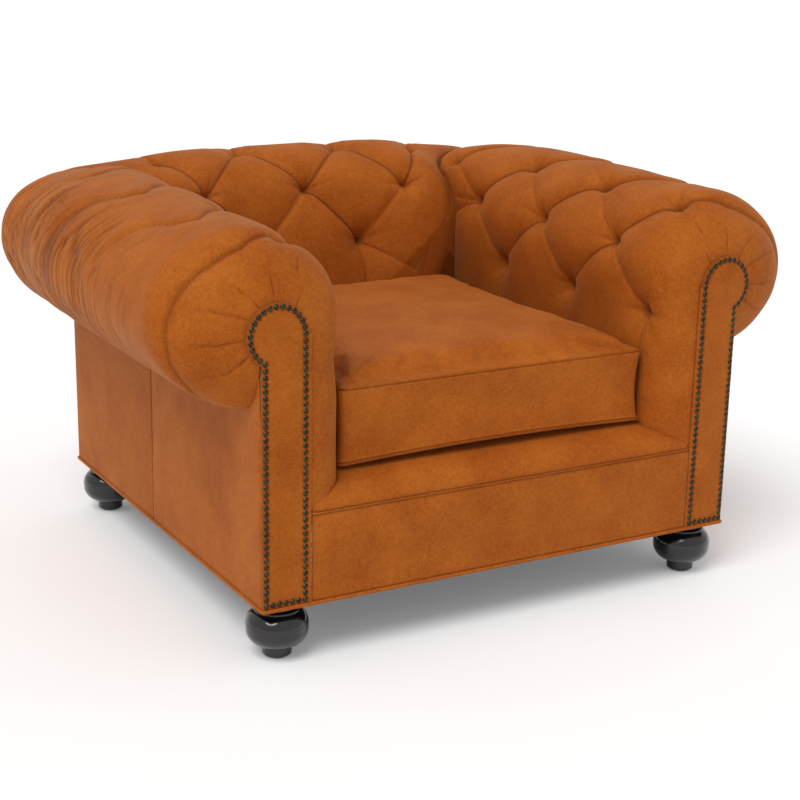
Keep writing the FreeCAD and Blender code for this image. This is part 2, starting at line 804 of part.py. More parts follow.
def make_feet():
    names = ("foot_front_left", "foot_front_right", "foot_back_left", "foot_back_right")
    foot = turned_foot()
    bolts = []
    nuts = []
    glides = []
    block_top = frame_bottom + corner_block_height
    bolt_low = foot_height - bolt_in_foot
    bolt_length = bolt_in_foot + (frame_bottom - foot_height) + bolt_in_block
    for name, (x, y) in zip(names, foot_places()):
        placed = foot.copy()
        placed.translate(Vector(x, y, 0))
        write(name, placed)
        bolts.append(Part.makeCylinder(bolt_radius, bolt_length, Vector(x, y, bolt_low)))
        flange = Part.makeCylinder(tee_nut_radius, tee_nut_flange, Vector(x, y, block_top - tee_nut_recess))
        nuts.append(flange.cut(Part.makeCylinder(foot_bore, high, Vector(x, y, 0))))
        glides.append(Part.makeCylinder(glide_radius, glide_thickness, Vector(x, y, 0)))
    write("foot_bolts", joined(bolts))
    write("foot_tee_nuts", joined(nuts))
    write("foot_glides", joined(glides))


# The cushion is worked out about its own middle and then put in its place
cushion_half_width = arm_face - cushion_side_gap
cushion_back = back_face - cushion_back_gap
cushion_half_depth = (cushion_back + cushion_front) / 2
cushion_middle = Vector(0, (cushion_back - cushion_front) / 2, 0)
cushion_bottom = deck_height + cushion_rest_gap
boxing_foot = cushion_bottom + 2 * cushion_piping


def cushion_ring(inset, z):
    corner = cushion_corner - inset * 0.3
    return ring_outline(cushion_half_width - inset, cushion_half_depth - inset, corner, z)


def boxing_body(skin):
    """Sides of the cushion, drawn in at half their height."""
    middle = (boxing_foot + cushion_seam_height) / 2
    rings = [
        cushion_ring(skin, boxing_foot),
        cushion_ring(skin + cushion_draw_in, middle),
        cushion_ring(skin, cushion_seam_height),
    ]
    return Part.makeLoft(rings, True, False)


def crown_body(skin):
    """Top of the cushion: quick up from the seam, then nearly level across the middle."""
    rise = [(0.0, 0.0), (0.35, 0.012), (0.62, 0.045), (0.82, 0.12), (0.94, 0.27), (1.0, 0.55)]
    rings = []
    for height, share in rise:
        inset = skin + share * cushion_half_width
        corner = cushion_corner + share * cushion_half_width * 0.5 - skin * 0.3
        z = cushion_seam_height + height * (cushion_crown - skin)
        rings.append(ring_outline(cushion_half_width - inset, cushion_half_depth - inset, corner, z))
    return Part.makeLoft(rings, True, True)


def cushion_piece(name, shape):
    shape = shape.copy()
    shape.translate(cushion_middle)
    write(name, shape)


def make_cushion():
    seam = Vector(0, 0, cushion_seam_height)
    inside = leather + skin_gap
    cushion_piece("cushion_top", crown_body(0.0).cut(crown_body(leather)))
    cushion_piece("cushion_boxing", boxing_body(0.0).cut(boxing_body(leather)))
    foam_low = cushion_bottom + leather + skin_gap
    core = boxing_body(inside).fuse(crown_body(inside)).removeSplitter()
    lower = Part.Face(cushion_ring(2 * cushion_piping + inside, foam_low))
    lower = lower.extrude(Vector(0, 0, boxing_foot - foam_low))
    cushion_piece("cushion_foam", core.fuse(lower).removeSplitter())
    bottom = Part.Face(cushion_ring(2 * cushion_piping + fit_gap, cushion_bottom))
    cushion_piece("cushion_bottom", bottom.extrude(Vector(0, 0, leather)))
    path = cushion_ring(cushion_piping, cushion_bottom + cushion_piping)
    start = path.Edges[1].Vertexes[0].Point
    ring = Part.Wire(Part.makeCircle(cushion_piping - fit_gap / 2, start, Vector(1, 0, 0)))
    cord = Part.Wire(path.Edges[1:] + path.Edges[:1]).makePipeShell([ring], True, False)
    cushion_piece("cushion_piping", cord)
    make_zip()


def make_zip():
    """Tape sewn to the back of the boxing, with the slider that runs along it."""
    back = cushion_back - cushion_draw_in + zip_sewn_gap
    half = zip_length / 2
    low = zip_height - zip_width / 2
    write("zip_tape", box(-half, half, back, back + zip_thickness, low, low + zip_width))
    y0 = back + zip_thickness + skin_gap
    x0 = -half + slider_start
    body = box(
        x0, x0 + slider_length, y0, y0 + slider_thickness,
        zip_height - slider_width / 2, zip_height + slider_width / 2,
    )
    pull = box(
        x0 + slider_length * 0.3, x0 + slider_length * 0.7, y0, y0 + slider_thickness * 0.5,
        zip_height - slider_width / 2 - zip_pull_length, zip_height,
    )
    write("zip_slider", body.fuse(pull).removeSplitter())


make_pads()
make_rails()
make_posts()
make_webbing()
make_ties()
make_springs()
make_deck()
make_lip()
make_border()
make_facings()
make_outer_covers()
make_base_trim()
make_feet()
make_cushion()
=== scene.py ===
import json
import math
import bpy
import bmesh
import numpy as np
from mathutils import Matrix, Vector
from mathutils.bvhtree import BVHTree


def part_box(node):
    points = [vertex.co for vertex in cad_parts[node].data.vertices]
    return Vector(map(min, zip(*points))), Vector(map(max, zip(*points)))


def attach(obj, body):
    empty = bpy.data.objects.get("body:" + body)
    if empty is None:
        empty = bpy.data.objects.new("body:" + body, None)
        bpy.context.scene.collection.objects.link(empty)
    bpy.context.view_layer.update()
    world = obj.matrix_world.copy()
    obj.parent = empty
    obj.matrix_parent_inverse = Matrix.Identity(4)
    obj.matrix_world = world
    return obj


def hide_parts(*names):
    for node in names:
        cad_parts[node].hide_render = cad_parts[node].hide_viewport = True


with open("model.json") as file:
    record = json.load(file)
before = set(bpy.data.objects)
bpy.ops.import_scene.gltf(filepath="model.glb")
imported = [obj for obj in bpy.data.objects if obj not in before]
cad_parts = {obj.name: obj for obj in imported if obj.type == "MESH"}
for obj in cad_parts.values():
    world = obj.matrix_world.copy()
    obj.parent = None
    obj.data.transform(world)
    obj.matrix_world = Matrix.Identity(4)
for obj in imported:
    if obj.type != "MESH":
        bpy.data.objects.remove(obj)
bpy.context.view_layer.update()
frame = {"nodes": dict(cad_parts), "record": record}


# The studio. A pale floor that runs on behind as the backdrop, one wide soft lamp high on
# the left, an even pale sky, and the camera at the height of someone standing in front.
floor_reach = 40.0
floor_mesh = bpy.data.meshes.new("studio_floor")
floor_corners = [(x * floor_reach, y * floor_reach, 0) for x, y in ((-1, -1), (1, -1), (1, 1), (-1, 1))]
floor_mesh.from_pydata(floor_corners, [], [(0, 1, 2, 3)])
floor = bpy.data.objects.new("studio_floor", floor_mesh)
bpy.context.scene.collection.objects.link(floor)

lamp = bpy.data.lights.new("window_light", "SUN")
lamp.energy = 1.5
lamp.angle = math.radians(32)
light_comes_from = Vector((-0.46, -0.32, 0.83))
lamp_object = bpy.data.objects.new("window_light", lamp)
lamp_object.rotation_euler = light_comes_from.to_track_quat("Z", "Y").to_euler()
bpy.context.scene.collection.objects.link(lamp_object)

bpy.context.scene.view_settings.view_transform = "Standard"

view_turn, view_rise, view_tilt = math.radians(-29.71), math.radians(16.10), math.radians(1.06)
view_target = Vector((0.024, -0.0855, 0.306))
view_distance = 3.466
behind = Vector((
    math.sin(view_turn) * math.cos(view_rise),
    -math.cos(view_turn) * math.cos(view_rise),
    math.sin(view_rise),
))
level_right = Vector((0, 0, 1)).cross(behind).normalized()
level_up = behind.cross(level_right)
camera_right = math.cos(view_tilt) * level_right + math.sin(view_tilt) * level_up
camera_up = math.cos(view_tilt) * level_up - math.sin(view_tilt) * level_right
lens = bpy.data.cameras.new("camera")
lens.sensor_width = 36.0
lens.lens = 74.52
camera = bpy.data.objects.new("camera", lens)
turn = Matrix((camera_right, camera_up, behind)).transposed().to_4x4()
camera.matrix_world = Matrix.Translation(view_target + behind * view_distance) @ turn
bpy.context.scene.collection.objects.link(camera)
bpy.context.scene.camera = camera


class Wire:
    """A value on its way through a material's nodes."""

    def __init__(self, tree, socket=None):
        self.tree = tree
        self.socket = socket

    def node(self, kind, settings=None, inputs=None, out=0):
        """Adds a node: its settings, its sockets' values or links, and the output that goes on."""
        made = self.tree.nodes.new(kind)
        for name, value in (settings or {}).items():
            setattr(made, name, value)
        for name, value in (inputs or {}).items():
            if isinstance(value, Wire):
                self.tree.links.new(value.socket, made.inputs[name])
            else:
                made.inputs[name].default_value = value
        return Wire(self.tree, made.outputs[out])

    def maths(self, operation, *values):
        """Adds a Math node on these values."""
        return self.node("ShaderNodeMath", {"operation": operation}, dict(enumerate(values)))

    def __add__(self, other):
        return self.maths("ADD", self, other)

    def __sub__(self, other):
        return self.maths("SUBTRACT", self, other)

    def __rsub__(self, other):
        return self.maths("SUBTRACT", other, self)

    def __mul__(self, other):
        return self.maths("MULTIPLY", self, other)

    __radd__ = __add__
    __rmul__ = __mul__

    def clamped(self):
        """Kept between 0 and 1."""
        return self.node("ShaderNodeClamp", {}, {"Value": self})

    def speckled(self, scale, detail=2.0, **more):
        """Noise over this place, scale swells to the metre."""
        return self.node("ShaderNodeTexNoise", {}, {"Vector": self, "Scale": scale, "Detail": detail, **more})

    def band(self, low, high):
        """0 below low, 1 above high."""
        return self.node("ShaderNodeMapRange", {}, {"Value": self, "From Min": low, "From Max": high})

    def mixed(self, first, second):
        """From the first colour to the second as this value goes from 0 to 1."""
        first, second = [c if isinstance(c, Wire) else (*c, 1.0) for c in (first, second)]
        factor, colour_a, colour_b, colour_out = 0, 6, 7, 2
        return self.node("ShaderNodeMix", {"data_type": "RGBA"},
                         {factor: self, colour_a: first, colour_b: second}, colour_out)


def new_finish(name, **fixed):
    """Material with its fixed values set on the shader: gives the material, shader and place."""
    material = bpy.data.materials.new(name)
    material.use_nodes = True
    tree = material.node_tree
    shader = tree.nodes["Principled BSDF"]
    for socket, value in fixed.items():
        shader.inputs[socket.replace("_", " ")].default_value = value
    object_place = 3
    return material, shader, Wire(tree).node("ShaderNodeTexCoord", out=object_place)


def feed(shader, socket, wire):
    """Links a value that changes over the surface to one of the shader's sockets."""
    wire.tree.links.new(wire.socket, shader.inputs[socket])


def bumped(shader, height, reach, strength=1.0):
    """Grain as a bump, reach metres from its lowest to its highest point."""
    feed(shader, "Normal", height.node(
        "ShaderNodeBump", {}, {"Height": height, "Distance": reach, "Strength": strength}))


# The sky and the floor show white to the camera; the floor keeps the chair's soft shadow.
sky = bpy.data.worlds.new("studio")
sky.use_nodes = True
background = sky.node_tree.nodes["Background"]
background.inputs["Color"].default_value = (1.0, 1.0, 1.0, 1.0)
sky_seen = Wire(sky.node_tree).node("ShaderNodeLightPath")
feed(background, "Strength", sky_seen.node("ShaderNodeMapRange", {}, {"Value": sky_seen, "To Min": 0.62}))
bpy.context.scene.world = sky
floor_finish, shader, place = new_finish(
    "floor_paint", Roughness=0.9, Specular_IOR_Level=0.0, Emission_Strength=1.0)
feed(shader, "Base Color", place.speckled(3.0).mixed((0.90, 0.90, 0.90), (0.92, 0.92, 0.92)))
seen = place.node("ShaderNodeLightPath")
feed(shader, "Emission Color", seen.mixed((0.0, 0.0, 0.0), (0.13, 0.13, 0.13)))
floor.data.materials.append(floor_finish)


# The leather: matte cognac, with a cloudy dye and a fine mottled grain, and painted shade that browns it in
# the folds, creases, seams and hollows.
leather, shader, place = new_finish(
    "leather", Specular_IOR_Level=0.20, Specular_Tint=(1.0, 0.72, 0.45, 1.0),
    Sheen_Weight=0.16, Sheen_Roughness=0.40, Sheen_Tint=(1.0, 0.66, 0.32, 1.0))
cloud = place.speckled(9.0, 4.0, Roughness=0.6)
mottle = place.speckled(330.0, 3.0, Roughness=0.7)
flecks = place.speckled(120.0)
grain = place.node(
    "ShaderNodeTexVoronoi", {"feature": "SMOOTH_F1"}, {"Vector": place, "Scale": 620.0, "Smoothness": 0.4})
# Painted shade: the fold attribute darkens the leather's colour towards deep brown in creases, seams and
# hollows.
painted_fold_shade = place.node("ShaderNodeAttribute", {"attribute_name": "fold"}, out=2)
dye = (cloud * 0.36 + mottle * 0.46 + flecks * 0.18).band(0.38, 0.62)
plain = dye.mixed((0.300, 0.061, 0.0040), (0.470, 0.128, 0.0140))
feed(shader, "Base Color", painted_fold_shade.clamped().mixed(plain, (0.110, 0.016, 0.0010)))
feed(shader, "Roughness", (0.62 + mottle * 0.14 - cloud * 0.05).clamped())
bumped(shader, grain * 0.55 + mottle * 0.45, 0.00035, 0.6)


# The two arms' inner covers. One hide each, pulled down to the deck on the inside and under
# the roll on the outside, drawn in at ten tufts; the spare leather lies in pleats between.
# mid is the middle of the base from front to back; run is leather from a roll's top inwards.
mid = -0.0695
base_half_width = 0.510
base_half_depth = 0.486
arm_roll = {"face": 0.334, "knee": 0.622, "centre": 0.497, "height": 0.622, "radius": 0.163}
cover_foot = 0.262
leather_thickness = 0.002
padding_gap = 0.0045


def soft_step(x):
    """0 below 0, 1 above 1, and a soft rise between."""
    x = np.clip(x, 0.0, 1.0)
    return x * x * (3.0 - 2.0 * x)


def noise(a, b, seed):
    """Smooth seeded random field from -1 to 1, one swell to each unit of a and b."""
    table = np.random.default_rng(seed).uniform(-1.0, 1.0, (256, 256))
    ia, ib = np.floor(a).astype(int), np.floor(b).astype(int)
    fa, fb = soft_step(a - ia), soft_step(b - ib)
    low = table[ia % 256, ib % 256] * (1 - fa) + table[(ia + 1) % 256, ib % 256] * fa
    high = table[ia % 256, (ib + 1) % 256] * (1 - fa) + table[(ia + 1) % 256, (ib + 1) % 256] * fa
    return low * (1 - fb) + high * fb


def leaves_roll(roll):
    """Angle at which the leather leaves a roll, and its length from there to the knee."""
    across, down = roll["centre"] - roll["face"], roll["height"] - roll["knee"]
    reach = np.maximum(np.hypot(across, down), roll["radius"])
    lean = np.minimum(np.arctan2(down, across) + np.arcsin(roll["radius"] / reach), np.pi / 2)
    drop = np.maximum(down + roll["radius"] * np.cos(lean), 0.0)
    return lean, drop / np.sin(lean)


def roll_outline(run, roll, inset=0.0):
    """Outline across a roll: the way out from the middle, and the height; inset sinks it."""
    centre, height, radius = roll["centre"], roll["height"], roll["radius"]
    lean, leaning = leaves_roll(roll)
    angle = np.minimum(run / radius, lean)
    rest = np.maximum(run - lean * radius, 0.0)
    along = np.minimum(rest, leaning)
    below = rest - along
    upright = soft_step(below / 0.05)
    out_u = -(1 - upright) * np.sin(angle) - upright
    out_z = (1 - upright) * np.cos(angle)
    length = np.hypot(out_u, out_z)
    u = centre - radius * np.sin(angle) - along * np.cos(lean) - inset * out_u / length
    z = height + radius * np.cos(angle) - along * np.sin(lean) - below - inset * out_z / length
    return u, z


def to_segment(along, run, a, b):
    """Distance to a straight stretch, share along it, and which side of it a point is on."""
    da, dr = b[0] - a[0], b[1] - a[1]
    length = math.hypot(da, dr)
    share = np.clip(((along - a[0]) * da + (run - a[1]) * dr) / length ** 2, 0.0, 1.0)
    off_a, off_r = along - a[0] - share * da, run - a[1] - share * dr
    side = (da * off_r - dr * off_a) / length
    return np.hypot(off_a, off_r), share, side


def tufted(along, run, tufts, pleats, folds):
    """Height of the leather over its plain outline, and the painted shade in its pleats, folds and tuft
    dimples.

    A pleat is (end, end, strength at each, width of its full side, width of its flat side).
    A fold is a path, its depth, its width and its strength at each end.
    """
    full = np.ones_like(along)
    # crease: painted shade along the pleats and folds and round each tuft.
    crease = np.zeros_like(along)
    lip = np.zeros_like(along)
    for a, b, start, end, wide, narrow in pleats:
        distance, share, side = to_segment(along, run, a, b)
        strength = start + (end - start) * share
        width = narrow + (wide - narrow) * soft_step(side / 0.012 + 0.5)
        near = np.clip(np.sqrt(distance ** 2 + 0.0016 ** 2) / width, 0.0, 1.0)
        full *= 1.0 - strength * (1.0 - np.sqrt(1.0 - (1.0 - near) ** 2))
        line = 1.0 if abs(wide - narrow) > 0.02 else 0.35
        crease = np.maximum(crease, line * strength * np.exp(-(distance / 0.0028) ** 2))
        lip += strength * 0.0018 * np.exp(-((side - 0.009) / 0.006) ** 2) * (distance < 0.03)
    height = -0.019 * (1.0 - full) + lip * full
    for number, (a, r, depth) in enumerate(tufts):
        off_a, off_r = along - a, run - r
        distance = np.hypot(off_a, off_r)
        turn = np.arctan2(off_r, off_a)
        height -= depth * np.exp(-(distance / 0.019) ** 1.35)
        rays = np.cos((5 + number % 3) * turn + number * 1.7 + 0.8 * np.sin(2 * turn + number))
        star = np.clip(rays, 0.0, 1.0) ** 2 * (distance / 0.016) * np.exp(1.0 - distance / 0.016)
        height -= 0.0017 * star
        crease = np.maximum(crease, 0.9 * np.exp(-(distance / 0.011) ** 2))
        crease = np.maximum(crease, 0.22 * star)
    for path, depth, width, start, end in folds:
        best = np.full_like(along, 1e9)
        shape = np.zeros_like(along)
        total = len(path) - 1
        for number, (a, b) in enumerate(zip(path, path[1:])):
            distance, share, side = to_segment(along, run, a, b)
            strength = start + (end - start) * (number + share) / total
            sharp = np.where(side > 0, width * 0.45, width * 1.6)
            drop = strength * np.exp(-distance / sharp)
            nearer = distance < best
            shape = np.where(nearer, drop, shape)
            best = np.minimum(best, distance)
            crease = np.maximum(crease, 0.75 * strength * np.exp(-(distance / 0.0026) ** 2))
        height -= depth * shape
    return height, crease


def surface_normals(points):
    """Normals of a grid of points, on the side that the grid's own turning gives."""
    normals = np.cross(np.gradient(points, axis=0), np.gradient(points, axis=1))
    return normals / np.maximum(np.linalg.norm(normals, axis=2, keepdims=True), 1e-12)


def outer_normals(points, row, column, outwards):
    """Normals of a grid on the side that lies towards outwards at one of its points."""
    normals = surface_normals(points)
    return normals * np.sign(normals[row, column] @ np.asarray(outwards, dtype=float))


def linked(name, mesh):
    """An object of this mesh, in the scene."""
    made = bpy.data.objects.new(name, mesh)
    bpy.context.scene.collection.objects.link(made)
    return made


def turned_out(points, fold, row, column, outwards):
    """The grid with its outer face towards outwards at one of its points."""
    if surface_normals(points)[row, column] @ np.asarray(outwards, dtype=float) < 0:
        points, fold = points[::-1], fold[::-1]
    return points, fold


def hide_mesh(name, points, thickness, fold=None, mirror=False):
    """Closed piece of hide: the grid is its outer face, and it is thickness deep."""
    if mirror:
        points = points[:, ::-1] * np.array([-1.0, 1.0, 1.0])
        fold = None if fold is None else fold[:, ::-1]
    rows, columns = points.shape[:2]
    inner = points - surface_normals(points) * thickness
    index = np.arange(rows * columns).reshape(rows, columns)
    a, b, c, d = index[:-1, :-1], index[1:, :-1], index[1:, 1:], index[:-1, 1:]
    outside = np.stack([a, b, c, d], axis=2).reshape(-1, 4)
    inside = outside[:, ::-1] + rows * columns
    rim = np.concatenate([index[0, ::-1], index[1:, 0], index[-1, 1:], index[-2:0:-1, -1]])
    following = np.roll(rim, -1)
    edge = np.stack([following, rim, rim + rows * columns, following + rows * columns], axis=1)
    faces = np.concatenate([outside, inside, edge])
    mesh = bpy.data.meshes.new(name)
    vertices = np.concatenate([points.reshape(-1, 3), inner.reshape(-1, 3)])
    mesh.vertices.add(len(vertices))
    mesh.vertices.foreach_set("co", vertices.ravel())
    mesh.loops.add(faces.size)
    mesh.loops.foreach_set("vertex_index", faces.ravel())
    mesh.polygons.add(len(faces))
    mesh.polygons.foreach_set("loop_start", np.arange(0, faces.size, 4))
    mesh.polygons.foreach_set("use_smooth", np.ones(len(faces), dtype=bool))
    mesh.update(calc_edges=True)
    mesh.validate()
    # The fold attribute: painted shade for the leather's colour, the same on both faces.
    depth = np.zeros(len(vertices))
    if fold is not None:
        depth[:rows * columns] = fold.ravel()
        depth[rows * columns:] = fold.ravel()
    mesh.attributes.new("fold", "FLOAT", "POINT").data.foreach_set("value", depth)
    return linked(name, mesh)


def fitted(piece, finish, stands_for, body="chair"):
    """Gives a piece its finish, its body and the CAD pieces that it stands for."""
    piece.data.materials.append(finish)
    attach(piece, body)
    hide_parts(*stands_for)


def closed_mesh(name, points, faces):
    """Smooth closed piece with its faces outwards and no many-sided ones."""
    mesh = bpy.data.meshes.new(name)
    mesh.from_pydata(points.reshape(-1, 3).tolist(), [], faces)
    shaped = bmesh.new()
    shaped.from_mesh(mesh)
    bmesh.ops.recalc_face_normals(shaped, faces=shaped.faces)
    bmesh.ops.triangulate(shaped, faces=[f for f in shaped.faces if len(f.verts) > 4])
    shaped.to_mesh(mesh)
    shaped.free()
    mesh.polygons.foreach_set("use_smooth", np.ones(len(mesh.polygons), dtype=bool))
    return linked(name, mesh)


def pad_mesh(name, rings, mirror=False):
    """Closed stuffing: rings of points along the pad, each end closed flat."""
    rings = np.asarray(rings)
    if mirror:
        rings = rings[::-1] * np.array([-1.0, 1.0, 1.0])
    count, size = rings.shape[:2]
    index = np.arange(count * size).reshape(count, size)
    following = np.roll(index, -1, axis=1)
    sides = np.stack([index[:-1], index[1:], following[1:], following[:-1]], axis=2).reshape(-1, 4)
    return closed_mesh(name, rings, sides.tolist() + [index[0].tolist(), index[-1][::-1].tolist()])


# Where the arm meets the back, both covers are sewn along an upright seam in a valley. On the
# outside the two rolls turn into each other round the corner.
corner_offset = 0.032
valley_depth = 0.026
valley_reach = 0.034
corner_round = 0.150


def corner_values(run, roll):
    """At each run: the valley's depth, the outline's reach at the seam, and the rounding."""
    outer = soft_step((-run - 0.01) / 0.16)
    valley = valley_depth * (1.0 - 0.6 * outer)
    at_seam, _ = roll_outline(run, roll, valley)
    room = np.maximum(at_seam - roll["centre"], 0.0) * 0.95 + 1e-6
    return valley, at_seam, np.minimum(corner_round * outer, room)


def round_the_corner(away, rounding):
    """How far the rounding draws the leather in, and how far it still is from the seam."""
    turned = np.clip((rounding * np.pi / 4 - away) / rounding, 0.0, np.pi / 4)
    straight = np.maximum(away - rounding * np.pi / 4, 0.0)
    return rounding * (1 - np.cos(turned)), rounding + straight - rounding * np.sin(turned)


def towards_corner(run, away, roll):
    """Outline at a distance away from the corner seam: the wide way, the long way, height."""
    valley, at_seam, rounding = corner_values(run, roll)
    wide, height = roll_outline(run, roll, valley * np.exp(-away / valley_reach))
    drawn_in, short_of = round_the_corner(away, rounding)
    return wide - drawn_in, at_seam - corner_offset - short_of, height


def end_of_run(run, roll):
    """Length of the cover from the chair's middle line to the corner seam."""
    _, at_seam, rounding = corner_values(run, roll)
    return at_seam - corner_offset - rounding * (1 - np.pi / 4)


arm_rows = (0.071, 0.202, 0.333)
arm_first = -0.400
arm_pitch = 0.255
# The cover's nose rounds off the arm's front and runs in under the edge of the facing.
nose_starts = -0.400
nose_length = 0.125
facing_middle = (0.479, 0.601)
facing_head = 0.054
facing_side = 0.420
nose_front = -0.480


def stepped(*stops):
    """Values from stop to stop, each stretch cut into its own number of steps."""
    parts = [np.linspace(a, b, n, endpoint=False) for (a, n), (b, _) in zip(stops, stops[1:])]
    return np.concatenate(parts + [np.array([stops[-1][0]])])


def arm_grid():
    """Plain outline of the right arm: points, length along it, run, and distance to the seam."""
    foot = np.pi / 2 * arm_roll["radius"] + arm_roll["height"] - cover_foot
    under = -(np.pi - math.asin(0.0132 / arm_roll["radius"])) * arm_roll["radius"]
    run = stepped((foot, 26), (0.40, 128), (-0.06, 64), (under, 0))[:, None]
    nose = np.linspace(1.0, 0.0, 42, endpoint=False)
    body = np.linspace(nose_starts, 0.16, 160, endpoint=False)
    last = np.linspace(0.0, 1.0, 62)
    end = end_of_run(run, arm_roll)
    along = np.concatenate([
        np.broadcast_to(nose_starts - nose * nose_length, (len(run), len(nose))),
        np.broadcast_to(body, (len(run), len(body))),
        0.16 + (end - 0.16) * last,
    ], axis=1)
    run = np.broadcast_to(run, along.shape)
    away = end_of_run(run, arm_roll) - along
    x, y, z = towards_corner(run, away, arm_roll)
    share = np.clip((nose_starts - along) / nose_length, 0.0, 1.0)
    angle = run / arm_roll["radius"]
    turned = np.where(angle > 0, np.minimum(angle, np.pi / 2), angle * 0.83)
    head_x = facing_middle[0] - facing_head * np.sin(turned)
    head_z = facing_middle[1] + facing_head * np.cos(turned)
    below = soft_step((angle - np.pi / 2) * arm_roll["radius"] / 0.05)
    head_x = head_x * (1 - below) + facing_side * below
    head_z = np.where(angle > np.pi / 2, np.minimum(z, facing_middle[1]), head_z)
    crown = soft_step(1.0 - np.abs(angle + 0.6) / 2.2)
    start = nose_starts + 0.035 * crown
    rounded = np.cos(share * np.pi / 2)
    lead = 0.035 * crown * soft_step((along + 0.30) / -0.10)
    front = nose_front - 0.0018 * below
    y = np.where(share > 0, start - (start - front) * np.sin(share * np.pi / 2), y + lead)
    x = head_x + (x - head_x) * rounded
    z = head_z + (z - head_z) * rounded
    return np.stack([x, y + mid, z], axis=2), along, run, away


def arm_tuft(row, number):
    """Place of a tuft: along the arm, and down its run."""
    return arm_first + (number + 0.5 * (row == 1)) * arm_pitch, arm_rows[row]


arm_tufts = [(*arm_tuft(0, k), 0.020) for k in range(4)]
arm_tufts += [(*arm_tuft(1, k), 0.022) for k in range(3)]
arm_tufts += [(*arm_tuft(2, k), 0.024) for k in range(3)]
arm_pleats = []
for k in range(3):
    top_tuft, middle_tuft, low_tuft = arm_tuft(0, k), arm_tuft(1, k), arm_tuft(2, k)
    arm_pleats += [
        (top_tuft, middle_tuft, 0.85, 1.0, 0.085, 0.045),
        (middle_tuft, arm_tuft(0, k + 1), 0.75, 0.55, 0.090, 0.090),
        (low_tuft, middle_tuft, 0.80, 0.75, 0.085, 0.085),
        (low_tuft, (low_tuft[0], 0.52), 0.9, 0.5, 0.085, 0.085),
    ]
arm_pleats += [(arm_tuft(1, k), arm_tuft(2, k + 1), 1.0, 0.9, 0.050, 0.085) for k in range(2)]
arm_pleats.append((arm_tuft(1, 2), (0.345, 0.262), 1.0, 0.6, 0.050, 0.085))
arm_pleats.append((arm_tuft(0, 3), (0.43, 0.120), 0.9, 0.7, 0.060, 0.060))
arm_folds = [
    ([(-0.145, 0.071), (-0.205, 0.020), (-0.268, -0.030), (-0.255, -0.065), (-0.185, -0.10), (-0.145, -0.16),
      (-0.11, -0.25)], 0.0120, 0.012, 1.0, 0.05),
    ([(0.110, 0.071), (0.050, 0.020), (-0.012, -0.030), (0.002, -0.065), (0.075, -0.10), (0.118, -0.16),
      (0.150, -0.25)], 0.0120, 0.012, 1.0, 0.05),
    ([(0.365, 0.071), (0.310, 0.020), (0.245, -0.030), (0.255, -0.065), (0.320, -0.10), (0.360, -0.16)],
     0.0120, 0.012, 1.0, 0.05),
    ([(-0.400, 0.071), (-0.425, 0.030), (-0.447, -0.030), (-0.452, -0.10), (-0.448, -0.20), (-0.440, -0.30),
      (-0.425, -0.38), (-0.405, -0.43)], 0.0110, 0.011, 1.0, 0.45),
    ([(0.2375, 0.202), (0.30, 0.207)], 0.006, 0.008, 1.0, 0.8),
    ([(-0.400, 0.333), (-0.470, 0.338)], 0.005, 0.010, 1.0, 0.1),
]
nose_edge = nose_starts - nose_length
# The tucks round the facing: place down the run, gap to the facing, length, bow and depth.
for place_on_roll, near, reach, bow, depth in (
        (0.105, 0.006, 0.022, 0.004, 0.0030), (0.085, 0.050, 0.020, 0.002, 0.0026),
        (0.000, 0.016, 0.034, 0.006, 0.0040), (-0.095, 0.006, 0.040, -0.012, 0.0046),
        (-0.185, 0.008, 0.052, -0.016, 0.0048), (-0.305, 0.004, 0.052, 0.020, 0.0048),
        (-0.405, 0.004, 0.058, 0.036, 0.0048)):
    tuck = [(nose_edge + near + reach * share, place_on_roll + bow * bent)
            for share, bent in ((0, 0), (0.5, 0.25), (1, 1))]
    arm_folds.append((tuck, depth, 0.0060, 1.0, 0.15))


def gathers(along, run, drift, seed):
    """Fine gathered wrinkles on the outside of a roll; drift leans them along it."""
    lean = along - drift
    first = noise(lean / 0.020 + 0.6 * noise(lean / 0.1, run / 0.1, seed + 1), run / 0.13, seed)
    second = noise(lean / 0.011, run / 0.085, seed + 2)
    third = noise(lean / 0.034, run / 0.2, seed + 3)
    return (np.clip(1 - np.abs(first) * 3.2, 0, 1) ** 1.4 + 0.45 * np.clip(1 - np.abs(second) * 3.0, 0, 1)
            + 0.5 * np.abs(third))


def gathered(height, fold, wrinkles, held, depth, shade):
    """Gathers drawn into a cover where it is held: lower, with painted shade in their depth."""
    fold = np.maximum(fold, shade * np.clip(wrinkles - 0.30, 0, 1) * held)
    return height - depth * wrinkles * held, fold


def seam_shade(run, away):
    """Painted shade in the corner seam and beside it."""
    shade = 0.85 * np.exp(-away / 0.007) + 0.42 * np.exp(-away / 0.055) * soft_step((run - 0.02) / 0.15)
    return shade * soft_step((run + 0.10) / 0.10)


def eased(points):
    """The plain rolls drawn into their real form: lower at the arms' fronts and the corners.

    The rolls widen a little outwards, and at each back corner they lean in and sink.
    """
    corner_x, corner_y, corner_reach = 0.45, 0.43, 0.135
    side, y, z = np.abs(points[..., 0]), points[..., 1] - mid, points[..., 2]
    upper = soft_step((z - 0.56) / 0.20)
    wider = 0.020 * soft_step((side - 0.515) / 0.14) * soft_step((0.42 - y) / 0.30)
    wider *= soft_step((z - 0.44) / 0.14)
    corner = np.exp(-((side - corner_x) ** 2 + (y - corner_y) ** 2) / corner_reach ** 2)
    flare = corner * soft_step((z - 0.60) / 0.14)
    lower = 0.012 * soft_step((0.10 - y) / 0.5) + 0.008 * soft_step((y - 0.32) / 0.12) + 0.016 * corner
    moved = points.copy()
    moved[..., 0] += np.sign(points[..., 0]) * (wider - 0.078 * flare)
    moved[..., 1] += 0.012 * flare
    moved[..., 2] -= lower * upper
    return moved


